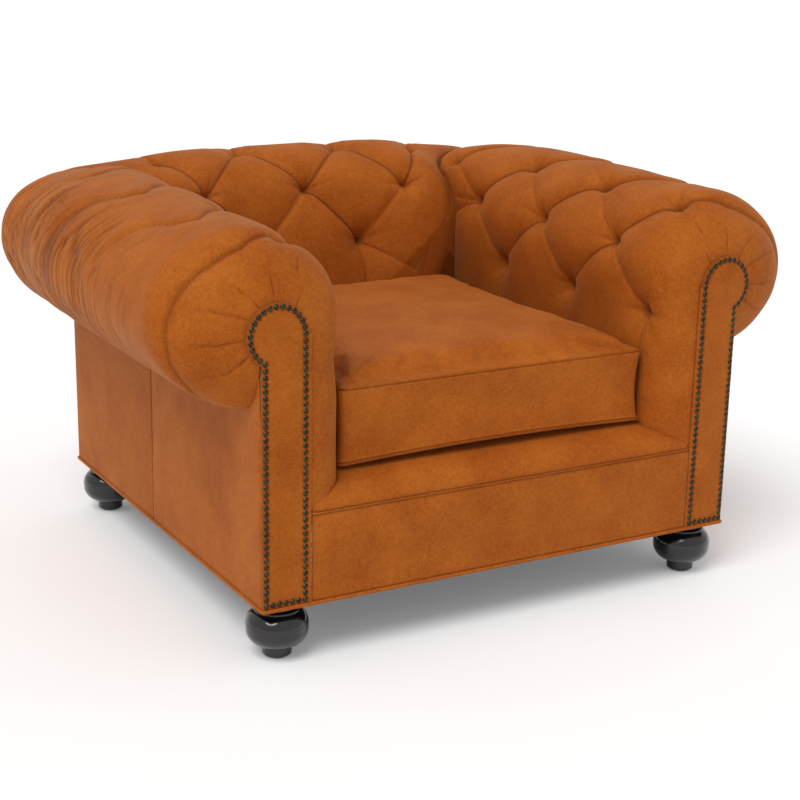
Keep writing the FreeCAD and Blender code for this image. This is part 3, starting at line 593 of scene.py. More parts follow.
# The arm cover: tufts and pleats, then the gathers on the roll's outside, then the real form.
points, along, run, away = arm_grid()
height, fold = tufted(along, run, arm_tufts, arm_pleats, arm_folds)
drift_runs = [-0.45, -0.33, -0.23, -0.16, -0.10, -0.065, -0.03, 0.02]
drift = np.interp(run, drift_runs, [0.03, 0.05, 0.03, 0.0, -0.04, -0.11, -0.125, -0.06])
wrinkles = gathers(along, run, drift, 11)
where = soft_step((-run - 0.05) / 0.09) * soft_step((run + 0.47) / 0.16)
busy = soft_step((along + 0.40) / 0.16) * (0.35 + 0.65 * soft_step((along + 0.22) / 0.22))
busy *= 0.65 + 0.5 * np.abs(noise(along / 0.11 + 3, run / 0.5, 13))
height, fold = gathered(height, fold, wrinkles, where * busy, 0.0038, 0.85)
height += 0.0012 * noise(along / 0.06, run / 0.07, 5)
fade = soft_step(away / 0.03) * soft_step((along - nose_edge) / 0.02 + 0.25)
normals = outer_normals(points, 60, 120, (-1, 0, 0))
arm_points = eased(points + normals * (height * fade)[:, :, None])
fold = fold * (0.3 + 0.7 * fade)
# Painted shade in the creases, the gathers and the corner seam.
arm_painted_shade = np.maximum(fold, seam_shade(run, away))
# Painted shade down in the well beside the cushion too.
well = soft_step((run - 0.17) / 0.17) * soft_step((along + 0.42) / 0.16)
arm_painted_shade = np.maximum(arm_painted_shade, well * (0.30 + 0.20 * soft_step((along + 0.1) / 0.3)))
arm_points, arm_painted_shade = turned_out(arm_points, arm_painted_shade, 60, 120, (-1, 0, 0))

# The padding under the covers: foam with a layer of wadding.
stuffing, shader, place = new_finish("foam_and_wadding", Roughness=0.95, Specular_IOR_Level=0.15)
cells = place.node("ShaderNodeTexVoronoi", {}, {"Vector": place, "Scale": 700.0})
fluff = place.speckled(60.0, 5.0)
feed(shader, "Base Color", fluff.mixed((0.80, 0.74, 0.56), (0.90, 0.87, 0.76)))
bumped(shader, cells * 0.6 + fluff, 0.0008)


def lowest_near(height, reach):
    """Each height lowered to the lowest of its neighbours, so that padding stays under its cover."""
    rows, columns = height.shape
    wide = np.pad(height, reach, mode="edge")
    shifts = range(0, 2 * reach + 1)
    down = np.min([wide[i:i + rows] for i in shifts], axis=0)
    return np.min([down[:, i:i + columns] for i in shifts], axis=0)


def under_cover(points, normals, height):
    """Surface of the padding, a little below the cover of this height."""
    return eased(points + normals * (lowest_near(height, 6) - padding_gap)[:, :, None])


def thinned(values):
    """Every fifth row and column, and the last ones."""
    rows = [*range(0, len(values) - 1, 5), len(values) - 1]
    columns = [*range(0, values.shape[1] - 1, 5), values.shape[1] - 1]
    return values[rows][:, columns]


def arm_stuffing_rings(points):
    """Rings of the arm's padding, inside its cover and round the frame."""
    inner = thinned(points)
    rings = []
    for column in range(inner.shape[1]):
        ring = inner[:, column]
        y = min(max(ring[:, 1].mean(), mid + nose_front + 0.030), 0.47 + mid)
        last = column == inner.shape[1] - 1
        frame_side = [(x, x - corner_offset + mid if last else y, z)
                      for x, z in ((0.5125, 0.562), (0.399, 0.562), (0.399, 0.264))]
        rings.append(np.concatenate([ring, np.array(frame_side)]))
    return np.array(rings)


arm_rings = arm_stuffing_rings(under_cover(points, normals, height * fade)[:, 16:])
for side, mirror in (("left", True), ("right", False)):
    cover = hide_mesh("arm_cover_" + side, arm_points, leather_thickness, arm_painted_shade, mirror)
    fitted(cover, leather, ["inner_arm_cover_" + side])
    padding = pad_mesh("arm_padding_" + side, arm_rings, mirror)
    fitted(padding, stuffing, ["arm_foam_" + side])


# The back's inner cover. One hide across the back, tufted in three rows, its own roll
# swelling to the arms' size at both ends, where it is sewn to the arm covers.
back_middle_roll = {"face": 0.300, "knee": 0.470, "centre": 0.490, "height": 0.650, "radius": 0.138}
back_end_roll = {"face": 0.302, "knee": 0.622, "centre": 0.465, "height": 0.622, "radius": 0.163}
back_rows = (0.012, 0.160, 0.290)


def back_roll(along, length):
    """The back's roll at each place, turning into the arms' roll by the corner seams."""
    share = soft_step((np.abs(along) - 0.12) / (length - 0.12))
    return {k: middle + (back_end_roll[k] - middle) * share for k, middle in back_middle_roll.items()}


def back_grid():
    """Plain outline of the back, laid out as the arm's is."""
    foot = 0.622 + np.pi / 2 * 0.163 - cover_foot
    share = stepped((1.0, 26), (0.40 / foot, 128), (-0.06 / foot, 64), (-0.50 / foot, 0))[:, None]
    flat = np.linspace(-1.0, 1.0, 141)
    edge = np.linspace(0.0, 1.0, 64)[1:]
    run_at_end = share * foot
    length = end_of_run(run_at_end, arm_roll) + corner_offset
    along = np.concatenate([
        -(0.24 + (length - 0.24) * edge[::-1]),
        np.broadcast_to(flat * 0.24, (len(share), len(flat))),
        0.24 + (length - 0.24) * edge,
    ], axis=1)
    roll = back_roll(along, length)
    run = np.broadcast_to(run_at_end, along.shape).copy()
    middle_foot = middle_foot_run(roll)
    stretch = soft_step((run - 0.34) / (foot - 0.34))
    run = run + (middle_foot - foot) * stretch
    under = soft_step((-run - 0.25) / 0.25)
    run = run + ((-np.pi * roll["radius"] - 0.004) - (-0.50)) * under
    away = length - np.abs(along)
    valley, seam_x, rounding = corner_values(run_at_end, arm_roll)
    y, z = roll_outline(run, roll, valley * np.exp(-away / valley_reach))
    drawn_in, short_of = round_the_corner(away, rounding)
    return np.stack([np.sign(along) * (seam_x - short_of), y - drawn_in + mid, z], axis=2), along, run, away


def middle_foot_run(roll):
    """Run from the top of the back's roll down to the foot of its cover."""
    lean, leaning = leaves_roll(roll)
    upright = np.minimum(roll["knee"], roll["height"] + roll["radius"] * np.cos(lean)) - cover_foot
    return lean * roll["radius"] + leaning + upright


def back_tuft(row, place):
    """Place of a tuft: across the back from its middle, and down its run."""
    return place * 0.244, back_rows[row]


back_tufts = [(*back_tuft(0, k), 0.017) for k in (-1.5, -0.5, 0.5, 1.5)]
back_tufts += [(*back_tuft(1, k), 0.022) for k in (-1, 0, 1)]
back_tufts += [(*back_tuft(2, k), 0.024) for k in (-0.5, 0.5)]
back_pleats = []
for k in (-1, 0, 1):
    back_pleats += [(back_tuft(1, k), back_tuft(0, k + 0.5), 1.0, 0.85, 0.050, 0.085),
                    (back_tuft(0, k - 0.5), back_tuft(1, k), 0.85, 0.75, 0.085, 0.065)]
for k in (-0.5, 0.5):
    low_tuft = back_tuft(2, k)
    back_pleats += [(back_tuft(1, k - 0.5), low_tuft, 1.0, 1.0, 0.045, 0.085),
                    (low_tuft, back_tuft(1, k + 0.5), 0.8, 0.7, 0.085, 0.070),
                    (low_tuft, (low_tuft[0], 0.50), 0.9, 0.5, 0.085, 0.085)]
for k in (1, -1):
    back_pleats += [(back_tuft(1, k), (k * 0.300, 0.150), 1.0, 0.2, 0.055, 0.085),
                    (back_tuft(2, k / 2), (k * 0.250, 0.375), 0.9, 0.4, 0.060, 0.085)]
back_folds = []
for k in (-1.5, -0.5, 0.5, 1.5):
    a, r = back_tuft(0, k)
    over_roll = [(a, r), (a + 0.006, -0.05), (a - 0.004, -0.12), (a + 0.010, -0.20)]
    back_folds.append((over_roll, 0.0065, 0.009, 1.0, 0.05))

points, along, run, away = back_grid()
height, fold = tufted(along, run, back_tufts, back_pleats, back_folds)
drift = 0.02 * np.sin(run / 0.09)
wrinkles = gathers(along, run, drift, 31)
where = soft_step((-run - 0.05) / 0.10) * soft_step((run + 0.43) / 0.16)
busy = 0.45 + 0.35 * noise(along / 0.12, run * 0 + 0.5, 9)
height, fold = gathered(height, fold, wrinkles, where * busy, 0.0024, 0.40)
height += 0.0012 * noise(along / 0.06, run / 0.07, 6)
fade = soft_step(away / 0.03)
middle_column = points.shape[1] // 2
normals = outer_normals(points, 60, middle_column, (0, -1, 0))
back_points = eased(points + normals * (height * fade)[:, :, None])
# Painted shade in the creases and the corner seams, and on the lower part down by the cushion.
back_painted_shade = np.maximum(fold, seam_shade(run, away))
back_painted_shade = np.maximum(back_painted_shade, 0.22 * soft_step((run - 0.20) / 0.16))
back_points, back_painted_shade = turned_out(back_points, back_painted_shade, 60, middle_column, (0, -1, 0))


def back_stuffing_rings(points):
    """Rings of the back's padding, from the left corner seam to the right one."""
    inner = thinned(points)
    rings = []
    for column in range(inner.shape[1]):
        ring = inner[:, column]
        at_seam = {0: -1, inner.shape[1] - 1: 1}.get(column)
        x = np.clip(ring[:, 0].mean(), -0.36, 0.36)
        frame_side = [(at_seam * (y + corner_offset) if at_seam else x, y + mid, z)
                      for y, z in ((0.4885, 0.562), (0.365, 0.562), (0.365, 0.264))]
        rings.append(np.concatenate([ring, np.array(frame_side)]))
    return np.array(rings)


cover = hide_mesh("back_cover", back_points, leather_thickness, back_painted_shade)
fitted(cover, leather, ["inner_back_cover"])
rings = back_stuffing_rings(under_cover(points, normals, height * fade))
padding = pad_mesh("back_padding", rings)
fitted(padding, stuffing, ["back_foam"])


# The loose seat cushion. A boxed case of four hides round a foam core: top and boxing in a
# plain seam, a thin welt at the lower edge, and a zip in the back of the boxing.
cushion_side = 0.3265
cushion_low_y, cushion_high_y = mid - 0.4295, mid + 0.2895
cushion_floor, cushion_seam = 0.3335, 0.473
cushion_corner = 0.016
corner_flare = 0.011
panel_thickness = 0.0018
core_gap = 0.0062


def rounded_rectangle(half_x, half_y, corner):
    """Outline about the origin, going round from the middle of its front left corner."""
    quarter = np.radians(np.linspace(0, 90, 13))
    spots = []
    for cx, cy, start in ((1, -1, -90), (1, 1, 0), (-1, 1, 90), (-1, -1, 180)):
        turn = quarter + math.radians(start)
        spots.append(np.stack([cx * (half_x - corner) + corner * np.cos(turn),
                               cy * (half_y - corner) + corner * np.sin(turn)], axis=1))
    outline = np.concatenate(spots)
    return np.concatenate([outline[45:], outline[:46]])


def rounded_side_points(half_x, half_y, corner, along_x, along_y):
    """The same outline as four sides, from corner to corner: front, right, back, left."""
    outline = rounded_rectangle(half_x, half_y, corner)
    length = np.concatenate([[0], np.cumsum(np.linalg.norm(np.diff(outline, axis=0), axis=1))])
    marks = [length[0], length[13], length[26], length[39], length[-1]]
    sides = []
    for number, count in enumerate((along_x, along_y, along_x, along_y)):
        at = np.linspace(marks[number], marks[number + 1], count)
        sides.append(np.stack([np.interp(at, length, outline[:, k]) for k in (0, 1)], axis=1))
    return sides


def filled_between(front, right, back, left):
    """Grid of points inside four sides, each given from corner to corner going round."""
    back, left = back[::-1], left[::-1]
    u = np.linspace(0, 1, len(front))[None, :, None]
    v = np.linspace(0, 1, len(right))[:, None, None]
    sides = (1 - v) * front[None] + v * back[None] + (1 - u) * left[:, None] + u * right[:, None]
    corners = ((1 - u) * (1 - v) * front[0] + u * (1 - v) * front[-1]
               + (1 - u) * v * back[0] + u * v * back[-1])
    return sides - corners


def ring_order(rows, columns):
    """Indices of a grid's border, going round from its first corner."""
    index = np.arange(rows * columns).reshape(rows, columns)
    return np.concatenate([index[0], index[1:, -1], index[-1, -2::-1], index[-2:0:-1, 0]])


# The case as it is sewn: top and underside as one grid each, the boxing as rings between them.
case_columns, case_rows, boxing_rows = 68, 74, 15
case_sides = rounded_side_points(
    cushion_side, (cushion_high_y - cushion_low_y) / 2, cushion_corner, case_columns, case_rows)
case_middle = np.array([0.0, (cushion_low_y + cushion_high_y) / 2])
case_plan = filled_between(*case_sides)
border = ring_order(case_rows, case_columns)
ring_plan = case_plan.reshape(-1, 2)[border]
edge_x = np.clip(np.abs(case_plan[:, :, 0]) / cushion_side, 0, 1)
edge_y = np.clip(np.abs(case_plan[:, :, 1]) / ((cushion_high_y - cushion_low_y) / 2), 0, 1)
dome = (1 - edge_x ** 5) * (1 - edge_y ** 5)
case_top = np.concatenate([case_plan + case_middle, (cushion_seam + 0.019 * dome)[:, :, None]], axis=2)
case_base = case_top.copy()
case_base[:, :, 2] = cushion_floor
levels = np.linspace(cushion_floor, cushion_seam, boxing_rows)
drawn_in = 0.004 * np.sin(np.pi * (levels - cushion_floor) / (cushion_seam - cushion_floor))
case_boxing = np.stack([
    np.concatenate([ring_plan * (1 - inset / 0.34) + case_middle,
                    np.full((len(ring_plan), 1), level)], axis=1)
    for level, inset in zip(levels, drawn_in)])

grid_size = case_rows * case_columns
ring_size = len(border)
case_points = np.concatenate([part.reshape(-1, 3) for part in (case_top, case_base, case_boxing[1:-1])])
ring_index = np.concatenate([
    (border + grid_size)[None],
    2 * grid_size + np.arange((boxing_rows - 2) * ring_size).reshape(boxing_rows - 2, ring_size),
    border[None]])
index = np.arange(grid_size).reshape(case_rows, case_columns)
upper = np.stack([index[:-1, :-1], index[:-1, 1:], index[1:, 1:], index[1:, :-1]], axis=2).reshape(-1, 4)
around = np.roll(ring_index, -1, axis=1)
walls = np.stack([ring_index[:-1], around[:-1], around[1:], ring_index[1:]], axis=2).reshape(-1, 4)
case_faces = np.concatenate([upper, upper[:, ::-1] + grid_size, walls])


def puffed(points, faces):
    """The case blown up by its filling: a short cloth simulation, its result read back."""
    mesh = bpy.data.meshes.new("cushion_case")
    mesh.from_pydata(points.tolist(), [], faces.tolist())
    case = linked("cushion_case", mesh)
    cloth = case.modifiers.new("filling", "CLOTH")
    for name, value in (
            ("quality", 5), ("mass", 0.35), ("tension_stiffness", 22), ("compression_stiffness", 22),
            ("shear_stiffness", 8), ("bending_stiffness", 0.6), ("use_pressure", True),
            ("uniform_pressure_force", 4.0)):
        setattr(cloth.settings, name, value)
    cloth.settings.effector_weights.gravity = 0.0
    cloth.collision_settings.use_collision = False
    scene = bpy.context.scene
    for number in range(1, 21):
        scene.frame_set(number)
    depsgraph = bpy.context.evaluated_depsgraph_get()
    settled = case.evaluated_get(depsgraph).to_mesh()
    result = np.zeros(len(points) * 3)
    settled.vertices.foreach_get("co", result)
    scene.frame_set(1)
    bpy.data.objects.remove(case)
    bpy.data.meshes.remove(mesh)
    return result.reshape(-1, 3)


swollen = puffed(case_points, case_faces)
# The filling may push each part of the case out only so far, and the arms hold its sides in.
shift = swollen - case_points
room = np.full(len(case_points), 0.026)
room[2 * grid_size:] = 0.0035
room[border] = 0.0035
room[grid_size:2 * grid_size] = 0.0
length = np.maximum(np.linalg.norm(shift, axis=1), 1e-9)
case_points = case_points + shift * (np.minimum(length, room) / length)[:, None]
widest = 0.3290 + corner_flare * np.exp(-np.abs(case_points[:, 1] - cushion_low_y) / 0.035)
case_points[:, 0] = np.clip(case_points[:, 0] * widest / 0.3290, -widest, widest)
case_points[:, 1] = np.clip(case_points[:, 1], cushion_low_y - 0.002, cushion_high_y)
rear = case_points[:, 1] > cushion_high_y - 0.012
belly = np.sin(np.pi * np.clip((case_points[:, 2] - cushion_floor) / (cushion_seam - cushion_floor), 0, 1))
case_points[:, 1] = np.minimum(case_points[:, 1], np.where(rear, cushion_high_y - 0.0045 * belly, np.inf))
near_front = np.exp(-np.maximum(case_points[:, 1] - cushion_low_y, 0) / 0.06)
lifted = np.clip((cushion_seam - case_points[:, 2]) / (cushion_seam - cushion_floor), 0, 1)
case_points[:, 2] += 0.008 * (1 - (case_points[:, 0] / cushion_side) ** 2) * near_front * lifted


def doubled(points, wrap=False):
    """Twice as many rows and columns, the new ones on a smooth line through the old."""
    for axis in (0, 1):
        points = np.swapaxes(points, 0, axis)
        if wrap and axis == 1:
            before, after = points[-2:-1], points[1:2]
        else:
            before, after = 2 * points[:1] - points[1:2], 2 * points[-1:] - points[-2:-1]
        wide = np.concatenate([before, points, after])
        between = (9 * (wide[1:-2] + wide[2:-1]) - wide[:-3] - wide[3:]) / 16
        finer = np.empty((2 * len(points) - 1,) + points.shape[1:])
        finer[::2], finer[1::2] = points, between
        points = np.swapaxes(finer, 0, axis)
    return points


def turned_edges(points, inwards, drop):
    """Adds the folded-in edge of the hide all round a grid, as at a plain seam."""
    wide = np.pad(points, ((2, 2), (2, 2), (0, 0)), mode="edge")
    middle = points.mean(axis=(0, 1))
    for step, (inset, fall) in enumerate(((inwards * 0.35, drop * 0.45), (inwards, drop))):
        at = 1 - step
        for rows, columns in ((at, slice(at, -at or None)), (-1 - at, slice(at, -at or None)),
                              (slice(at, -at or None), at), (slice(at, -at or None), -1 - at)):
            edge = wide[rows, columns].copy()
            flat = edge - middle
            flat[:, 2] = 0
            flat /= np.linalg.norm(flat, axis=1, keepdims=True)
            wide[rows, columns] = edge - flat * inset - np.array([0, 0, fall])
    return wide


def creased_from(points, seeds):
    """Small puckers that run out from a corner; seeds are (x, y, number, length, depth)."""
    fall = np.zeros(points.shape[:2])
    for x, y, number, length, depth in seeds:
        off_x, off_y = points[:, :, 0] - x, points[:, :, 1] - y
        distance = np.hypot(off_x, off_y)
        turn = np.arctan2(off_y, off_x)
        ray = np.clip(np.cos(number * turn + 1.3 * x), 0, 1) ** 3
        fall += depth * ray * (distance / length) * np.exp(1 - distance / length)
    return fall


# The top: its case part made finer, puckers at the front corners, soft dents, folded-in edge.
top = doubled(case_points[:grid_size].reshape(case_rows, case_columns, 3))
puckers = creased_from(top, [
    (side * (cushion_side - 0.02), cushion_low_y + 0.02, 11, 0.035, 0.0022) for side in (-1, 1)])
soft = 0.0030 * noise(top[:, :, 0] / 0.16 + 3, top[:, :, 1] / 0.16, 41) + 0.0012 * noise(
    top[:, :, 0] / 0.07, top[:, :, 1] / 0.07, 42)
inside_edge = soft_step(np.minimum(cushion_side - np.abs(top[:, :, 0]), np.minimum(
    top[:, :, 1] - cushion_low_y, cushion_high_y - top[:, :, 1])) / 0.05)
top[:, :, 2] += soft * inside_edge - puckers
# Painted shade in the corner puckers and along the folded-in edge.
top_painted_shade = np.pad(np.clip(puckers / 0.0022, 0, 1) * 0.35, 2, constant_values=0.9)
top[:, :, 2] += 0.0012
top = turned_edges(top, 0.0045, 0.0022)[:, ::-1]
piece = hide_mesh("seat_cushion_top", top, panel_thickness, top_painted_shade[:, ::-1])
fitted(piece, leather, ["cushion_top"], body="seat_cushion")

# The boxing: one strip right round, joined at the back, with both its edges folded in.
boxing = np.concatenate([case_points[:grid_size].reshape(-1, 3)[border][None],
                         case_points[2 * grid_size:].reshape(boxing_rows - 2, ring_size, 3)[::-1],
                         case_points[grid_size:2 * grid_size].reshape(-1, 3)[border][None]])
start = ring_size // 2 + case_columns // 2
boxing = np.roll(boxing, -start, axis=1)
boxing = doubled(np.concatenate([boxing, boxing[:, :1]], axis=1), wrap=True)
ring_out = np.cross(np.gradient(boxing, axis=1), np.array([0, 0, 1.0]))
ring_out /= np.linalg.norm(ring_out, axis=2, keepdims=True)
share = np.linspace(0, 1, len(boxing))[:, None]
turn_along = np.cumsum(np.linalg.norm(np.diff(boxing[:1], axis=1, append=boxing[:1, :1]), axis=2), axis=1)
swell = 0.0016 * noise(turn_along / 0.11, share * 1.7, 44) * np.sin(np.pi * share)
swell = swell * soft_step((cushion_high_y - 0.02 - boxing[:, :, 1]) / 0.03)
boxing = boxing + ring_out * swell[:, :, None]
boxing[0, :, 2] -= 0.0012
boxing[-1, :, 2] += 0.0065
upper_hem, lower_hem = (
    [boxing[edge] - ring_out[edge] * inset + np.array([0, 0, side * rise])
     for inset, rise in ((0.0016, 0.0010), (0.0050, 0.0016))] for edge, side in ((0, 1), (-1, -1)))
strip = np.concatenate([upper_hem[::-1], boxing, lower_hem])
# Painted shade along both folded-in hems.
boxing_painted_shade = np.pad(np.zeros(boxing.shape[:2]), ((2, 2), (0, 0)), constant_values=0.9)
piece = hide_mesh("seat_cushion_boxing", strip, panel_thickness, boxing_painted_shade)
fitted(piece, leather, ["cushion_boxing"], body="seat_cushion")

# The underside, drawn in a little so that the welt shows below the boxing.
base = doubled(case_points[grid_size:2 * grid_size].reshape(case_rows, case_columns, 3))
base[:, :, :2] = (base[:, :, :2] - case_middle) * 0.978 + case_middle
base[:, :, 2] -= 0.0020
piece = hide_mesh("seat_cushion_underside", turned_edges(base, 0.003, -0.0022), panel_thickness)
fitted(piece, leather, ["cushion_bottom"], body="seat_cushion")


def cord_mesh(name, path, radius, closed=False, sides=12, tall=1.0):
    """Covered cord along a path of points; open ends are closed and rounded off."""
    path = np.asarray(path, dtype=float)
    if closed:
        ahead = np.roll(path, -1, axis=0) - np.roll(path, 1, axis=0)
    else:
        ahead = np.gradient(path, axis=0)
    ahead /= np.linalg.norm(ahead, axis=1, keepdims=True)
    side = np.cross(ahead, np.array([0.0, 0.0, 1.0]))
    side /= np.maximum(np.linalg.norm(side, axis=1, keepdims=True), 1e-9)
    over = np.cross(side, ahead)
    turn = np.linspace(0, 2 * np.pi, sides, endpoint=False)
    size = np.full(len(path), radius)
    if not closed:
        size[[0, -1]] = radius * 0.45
        size[[1, -2]] = radius * 0.88
    ring = side[:, None] * np.cos(turn)[None, :, None] + over[:, None] * tall * np.sin(turn)[None, :, None]
    points = path[:, None] + ring * size[:, None, None]
    index = np.arange(points.shape[0] * sides).reshape(-1, sides)
    following = np.roll(index, -1, axis=1)
    faces = np.stack([index, following, np.roll(following, -1, axis=0), np.roll(index, -1, axis=0)], axis=2)
    faces = (faces if closed else faces[:-1]).reshape(-1, 4).tolist()
    if not closed:
        faces += [index[0][::-1].tolist(), index[-1].tolist()]
    return closed_mesh(name, points, faces)


# The welt round the lower edge, and the core inside the case.
welt_radius = 0.0031
welt_path = strip[-3, :-1] - ring_out[-1, :-1] * 0.0030 - np.array([0, 0, 0.0033])
piece = cord_mesh("seat_cushion_welt", welt_path, welt_radius, closed=True)
fitted(piece, leather, ["cushion_piping"], body="seat_cushion")

piece = closed_mesh("seat_cushion_core", case_points, case_faces.tolist())
core_normals = np.zeros(len(case_points) * 3)
piece.data.vertex_normals.foreach_get("vector", core_normals)
core_points = case_points - core_normals.reshape(-1, 3) * core_gap
core_points[:, 2] = np.maximum(core_points[:, 2], cushion_floor + 0.004)
piece.data.vertices.foreach_set("co", core_points.ravel())
piece.data.update()
fitted(piece, stuffing, ["cushion_foam"], "seat_cushion")

# The zip: a woven tape sewn in along the back of the boxing, with moulded teeth.
zip_low, zip_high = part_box("zip_tape")
zip_cloth, shader, place = new_finish("zip_cloth", Roughness=0.85, Specular_IOR_Level=0.2)
ribs = place.node("ShaderNodeTexWave", {"bands_direction": "Z"}, {"Vector": place, "Scale": 260.0})
lint = place.speckled(500.0)
feed(shader, "Base Color", (ribs * 0.6 + lint * 0.4).mixed((0.13, 0.055, 0.022), (0.23, 0.11, 0.05)))
bumped(shader, ribs + lint * 0.4, 0.0003)
across = np.linspace(zip_high.z, zip_low.z, 13)[:, None]
along = np.linspace(zip_high.x, zip_low.x, 131)[None, :]
face = zip_high.y - 0.0003 + 0.0003 * np.cos(np.linspace(-np.pi, np.pi, 13))[:, None] + 0 * along
tape = np.stack([along + 0 * across, face, across + 0 * along], axis=2)
piece = hide_mesh("zip_tape_cloth", tape, zip_high.y - zip_low.y - 0.0002)
fitted(piece, zip_cloth, ["zip_tape"], "seat_cushion")
teeth = bmesh.new()
tooth_pitch = 0.0028
for number, x in enumerate(np.arange(zip_low.x + 0.006, zip_high.x - 0.006, tooth_pitch)):
    offset = 0.0011 if number % 2 else -0.0011
    middle = Vector((x, zip_high.y + 0.0003, (zip_low.z + zip_high.z) / 2 + offset))
    tooth = bmesh.ops.create_icosphere(teeth, subdivisions=1, radius=1.0)["verts"]
    bmesh.ops.scale(teeth, vec=(0.0009, 0.0005, 0.0021), verts=tooth)
    bmesh.ops.translate(teeth, vec=middle, verts=tooth)
teeth_mesh = bpy.data.meshes.new("zip_teeth")
teeth.to_mesh(teeth_mesh)
teeth.free()
piece = linked("zip_teeth", teeth_mesh)
fitted(piece, zip_cloth, ["zip_tape"], "seat_cushion")


# The keyhole facings on the arm fronts. A thin board covered in leather, its edge wrapped
# round, fixed by a close row of domed nails whose heads press the leather in.
facing_inner, facing_outer, facing_foot = 0.417, 0.508, 0.1143
bulb_x, bulb_z, bulb_radius = 0.479, 0.601, 0.057
facing_thickness = 0.0008


def facing_edges(z):
    """Inner and outer edge of the keyhole outline at each height."""
    half = np.sqrt(np.maximum(bulb_radius ** 2 - (z - bulb_z) ** 2, 0))
    below = z <= bulb_z
    inner = np.where(below, np.minimum(facing_inner, bulb_x - half), bulb_x - half)
    outer = np.where(below, np.maximum(facing_outer, bulb_x + half), bulb_x + half)
    return inner, outer


def loose_parts(node):
    """The separate solids of a CAD piece, each as an array of its points."""
    source = frame["nodes"][node]
    shape = bmesh.new()
    shape.from_mesh(source.data)
    bmesh.ops.remove_doubles(shape, verts=shape.verts, dist=1e-6)
    left, parts = set(shape.verts), []
    for seed in shape.verts:
        if seed not in left:
            continue
        left.remove(seed)
        group, edge = [], [seed]
        while edge:
            vertex = edge.pop()
            group.append(source.matrix_world @ vertex.co)
            for link in vertex.link_edges:
                other = link.other_vert(vertex)
                if other in left:
                    left.remove(other)
                    edge.append(other)
        parts.append(np.array(group))
    shape.free()
    return parts


nails = np.array([(part.min(axis=0) + part.max(axis=0)) / 2 for part in loose_parts("facing_nails_right")])
turn = np.radians(np.linspace(0, 88, 40))
z = np.concatenate([
    np.linspace(facing_foot, bulb_z, 240, endpoint=False), bulb_z + bulb_radius * np.sin(turn)])
inner, outer = facing_edges(z)
share = np.linspace(0, 1, 52)
x = inner[:, None] + (outer - inner)[:, None] * share
z = np.broadcast_to(z[:, None], x.shape)
nearest = np.min(np.hypot(x[:, :, None] - nails[:, 0], z[:, :, None] - nails[:, 2]), axis=2)
from_edge = np.minimum(x - inner[:, None], outer[:, None] - x)
from_edge = np.minimum(from_edge, np.minimum(z - facing_foot, bulb_z + bulb_radius - z))
plump = 0.0022 * soft_step((from_edge - 0.004) / 0.022) - 0.0009 * np.exp(-(nearest / 0.0075) ** 2)
plump += 0.0005 * noise(x / 0.02, z / 0.03, 61) + 0.0004 * noise(x / 0.05 + 7, z / 0.16, 62)
y = mid - base_half_depth - plump
# Painted shade: a darker ring round each nail head and along the edge, which is wrapped round the board.
nail_ring_shade = 0.42 * np.exp(-((nearest - 0.0045) / 0.0026) ** 2)
grid = np.stack([x, y, z], axis=2)
outwards = np.zeros_like(grid)
for column, sign in ((0, -1), (-1, 1)):
    rise = np.gradient(grid[:, column], axis=0)
    outwards[:, column] = np.stack([rise[:, 2], 0 * rise[:, 0], -rise[:, 0]], axis=1) * sign
    outwards[:, column] /= np.linalg.norm(outwards[:, column], axis=1, keepdims=True)
outwards[0] += np.array([0, 0, -1.0])
outwards[-1] += np.array([0, 0, 1.0])
grid, outwards = (np.pad(values, ((3, 3), (3, 3), (0, 0)), mode="edge") for values in (grid, outwards))
row_in, column_in = (np.minimum(np.arange(count), np.arange(count)[::-1]) for count in grid.shape[:2])
ring = 3 - np.minimum(np.minimum(row_in[:, None], column_in[None]), 3)
grid += outwards * np.array([0, 0.0006, 0.0009, 0.0009])[ring][:, :, None]
grid[:, :, 1] += np.array([0, 0.0005, 0.0018, 0.0056])[ring]
nail_ring_shade = np.pad(nail_ring_shade, 3, constant_values=0.35)
grid, nail_ring_shade = turned_out(grid, nail_ring_shade, 100, 25, (0, -1, 0))
for side, mirror in (("left", True), ("right", False)):
    piece = hide_mesh("facing_leather_" + side, grid, facing_thickness, nail_ring_shade, mirror)
    fitted(piece, leather, ["facing_cover_" + side])


# The front border under the cushion: a stretched band of leather over thin padding, a piping
# along its top, and above that the lip, sloping up and back to the deck between the arms.
border_half, border_foot, border_top = 0.4152, 0.107, 0.2745
welt_groove = 0.1148
piping_radius = 0.0030
x = np.linspace(-border_half, border_half, 210)[None]
z = np.linspace(border_foot, border_top, 44)[:, None]
rise = (z - border_foot) / (border_top - border_foot)
bulge = 0.0016 * np.sin(np.pi * rise) ** 0.6 * soft_step((border_half - np.abs(x)) / 0.03)
waves = 0.0009 * noise(x / 0.13, z / 0.11, 71) + 0.0004 * noise(x / 0.035, z / 0.12, 72)
y = mid - base_half_depth - bulge - waves * np.sin(np.pi * rise)
band = np.stack([x + 0 * z, y, z + 0 * x], axis=2)
over = band[-1:] + np.array([0, 0.0022, 0.0004])
under = band[:1] + np.array([0, 0.0020, -0.0003])
band = np.concatenate([under, band, over])
# Painted shade in the welt groove, along the top edge and at both ends.
band_painted_shade = 0.75 * np.exp(-np.abs(band[:, :, 2] - welt_groove) / 0.0011)
band_painted_shade = np.maximum(band_painted_shade, 0.6 * np.exp(-(border_top - band[:, :, 2]) / 0.0016))
band_painted_shade = np.maximum(band_painted_shade, 0.5 * np.exp(-(border_half - np.abs(band[:, :, 0])) / 0.0016))
band, band_painted_shade = turned_out(band, band_painted_shade, 20, 100, (0, -1, 0))
piece = hide_mesh("front_border_leather", band, panel_thickness, band_painted_shade)
fitted(piece, leather, ["front_border_cover"])
wadding_thickness = 0.0050
stuffed = band + np.array([0, 0.0024, 0])
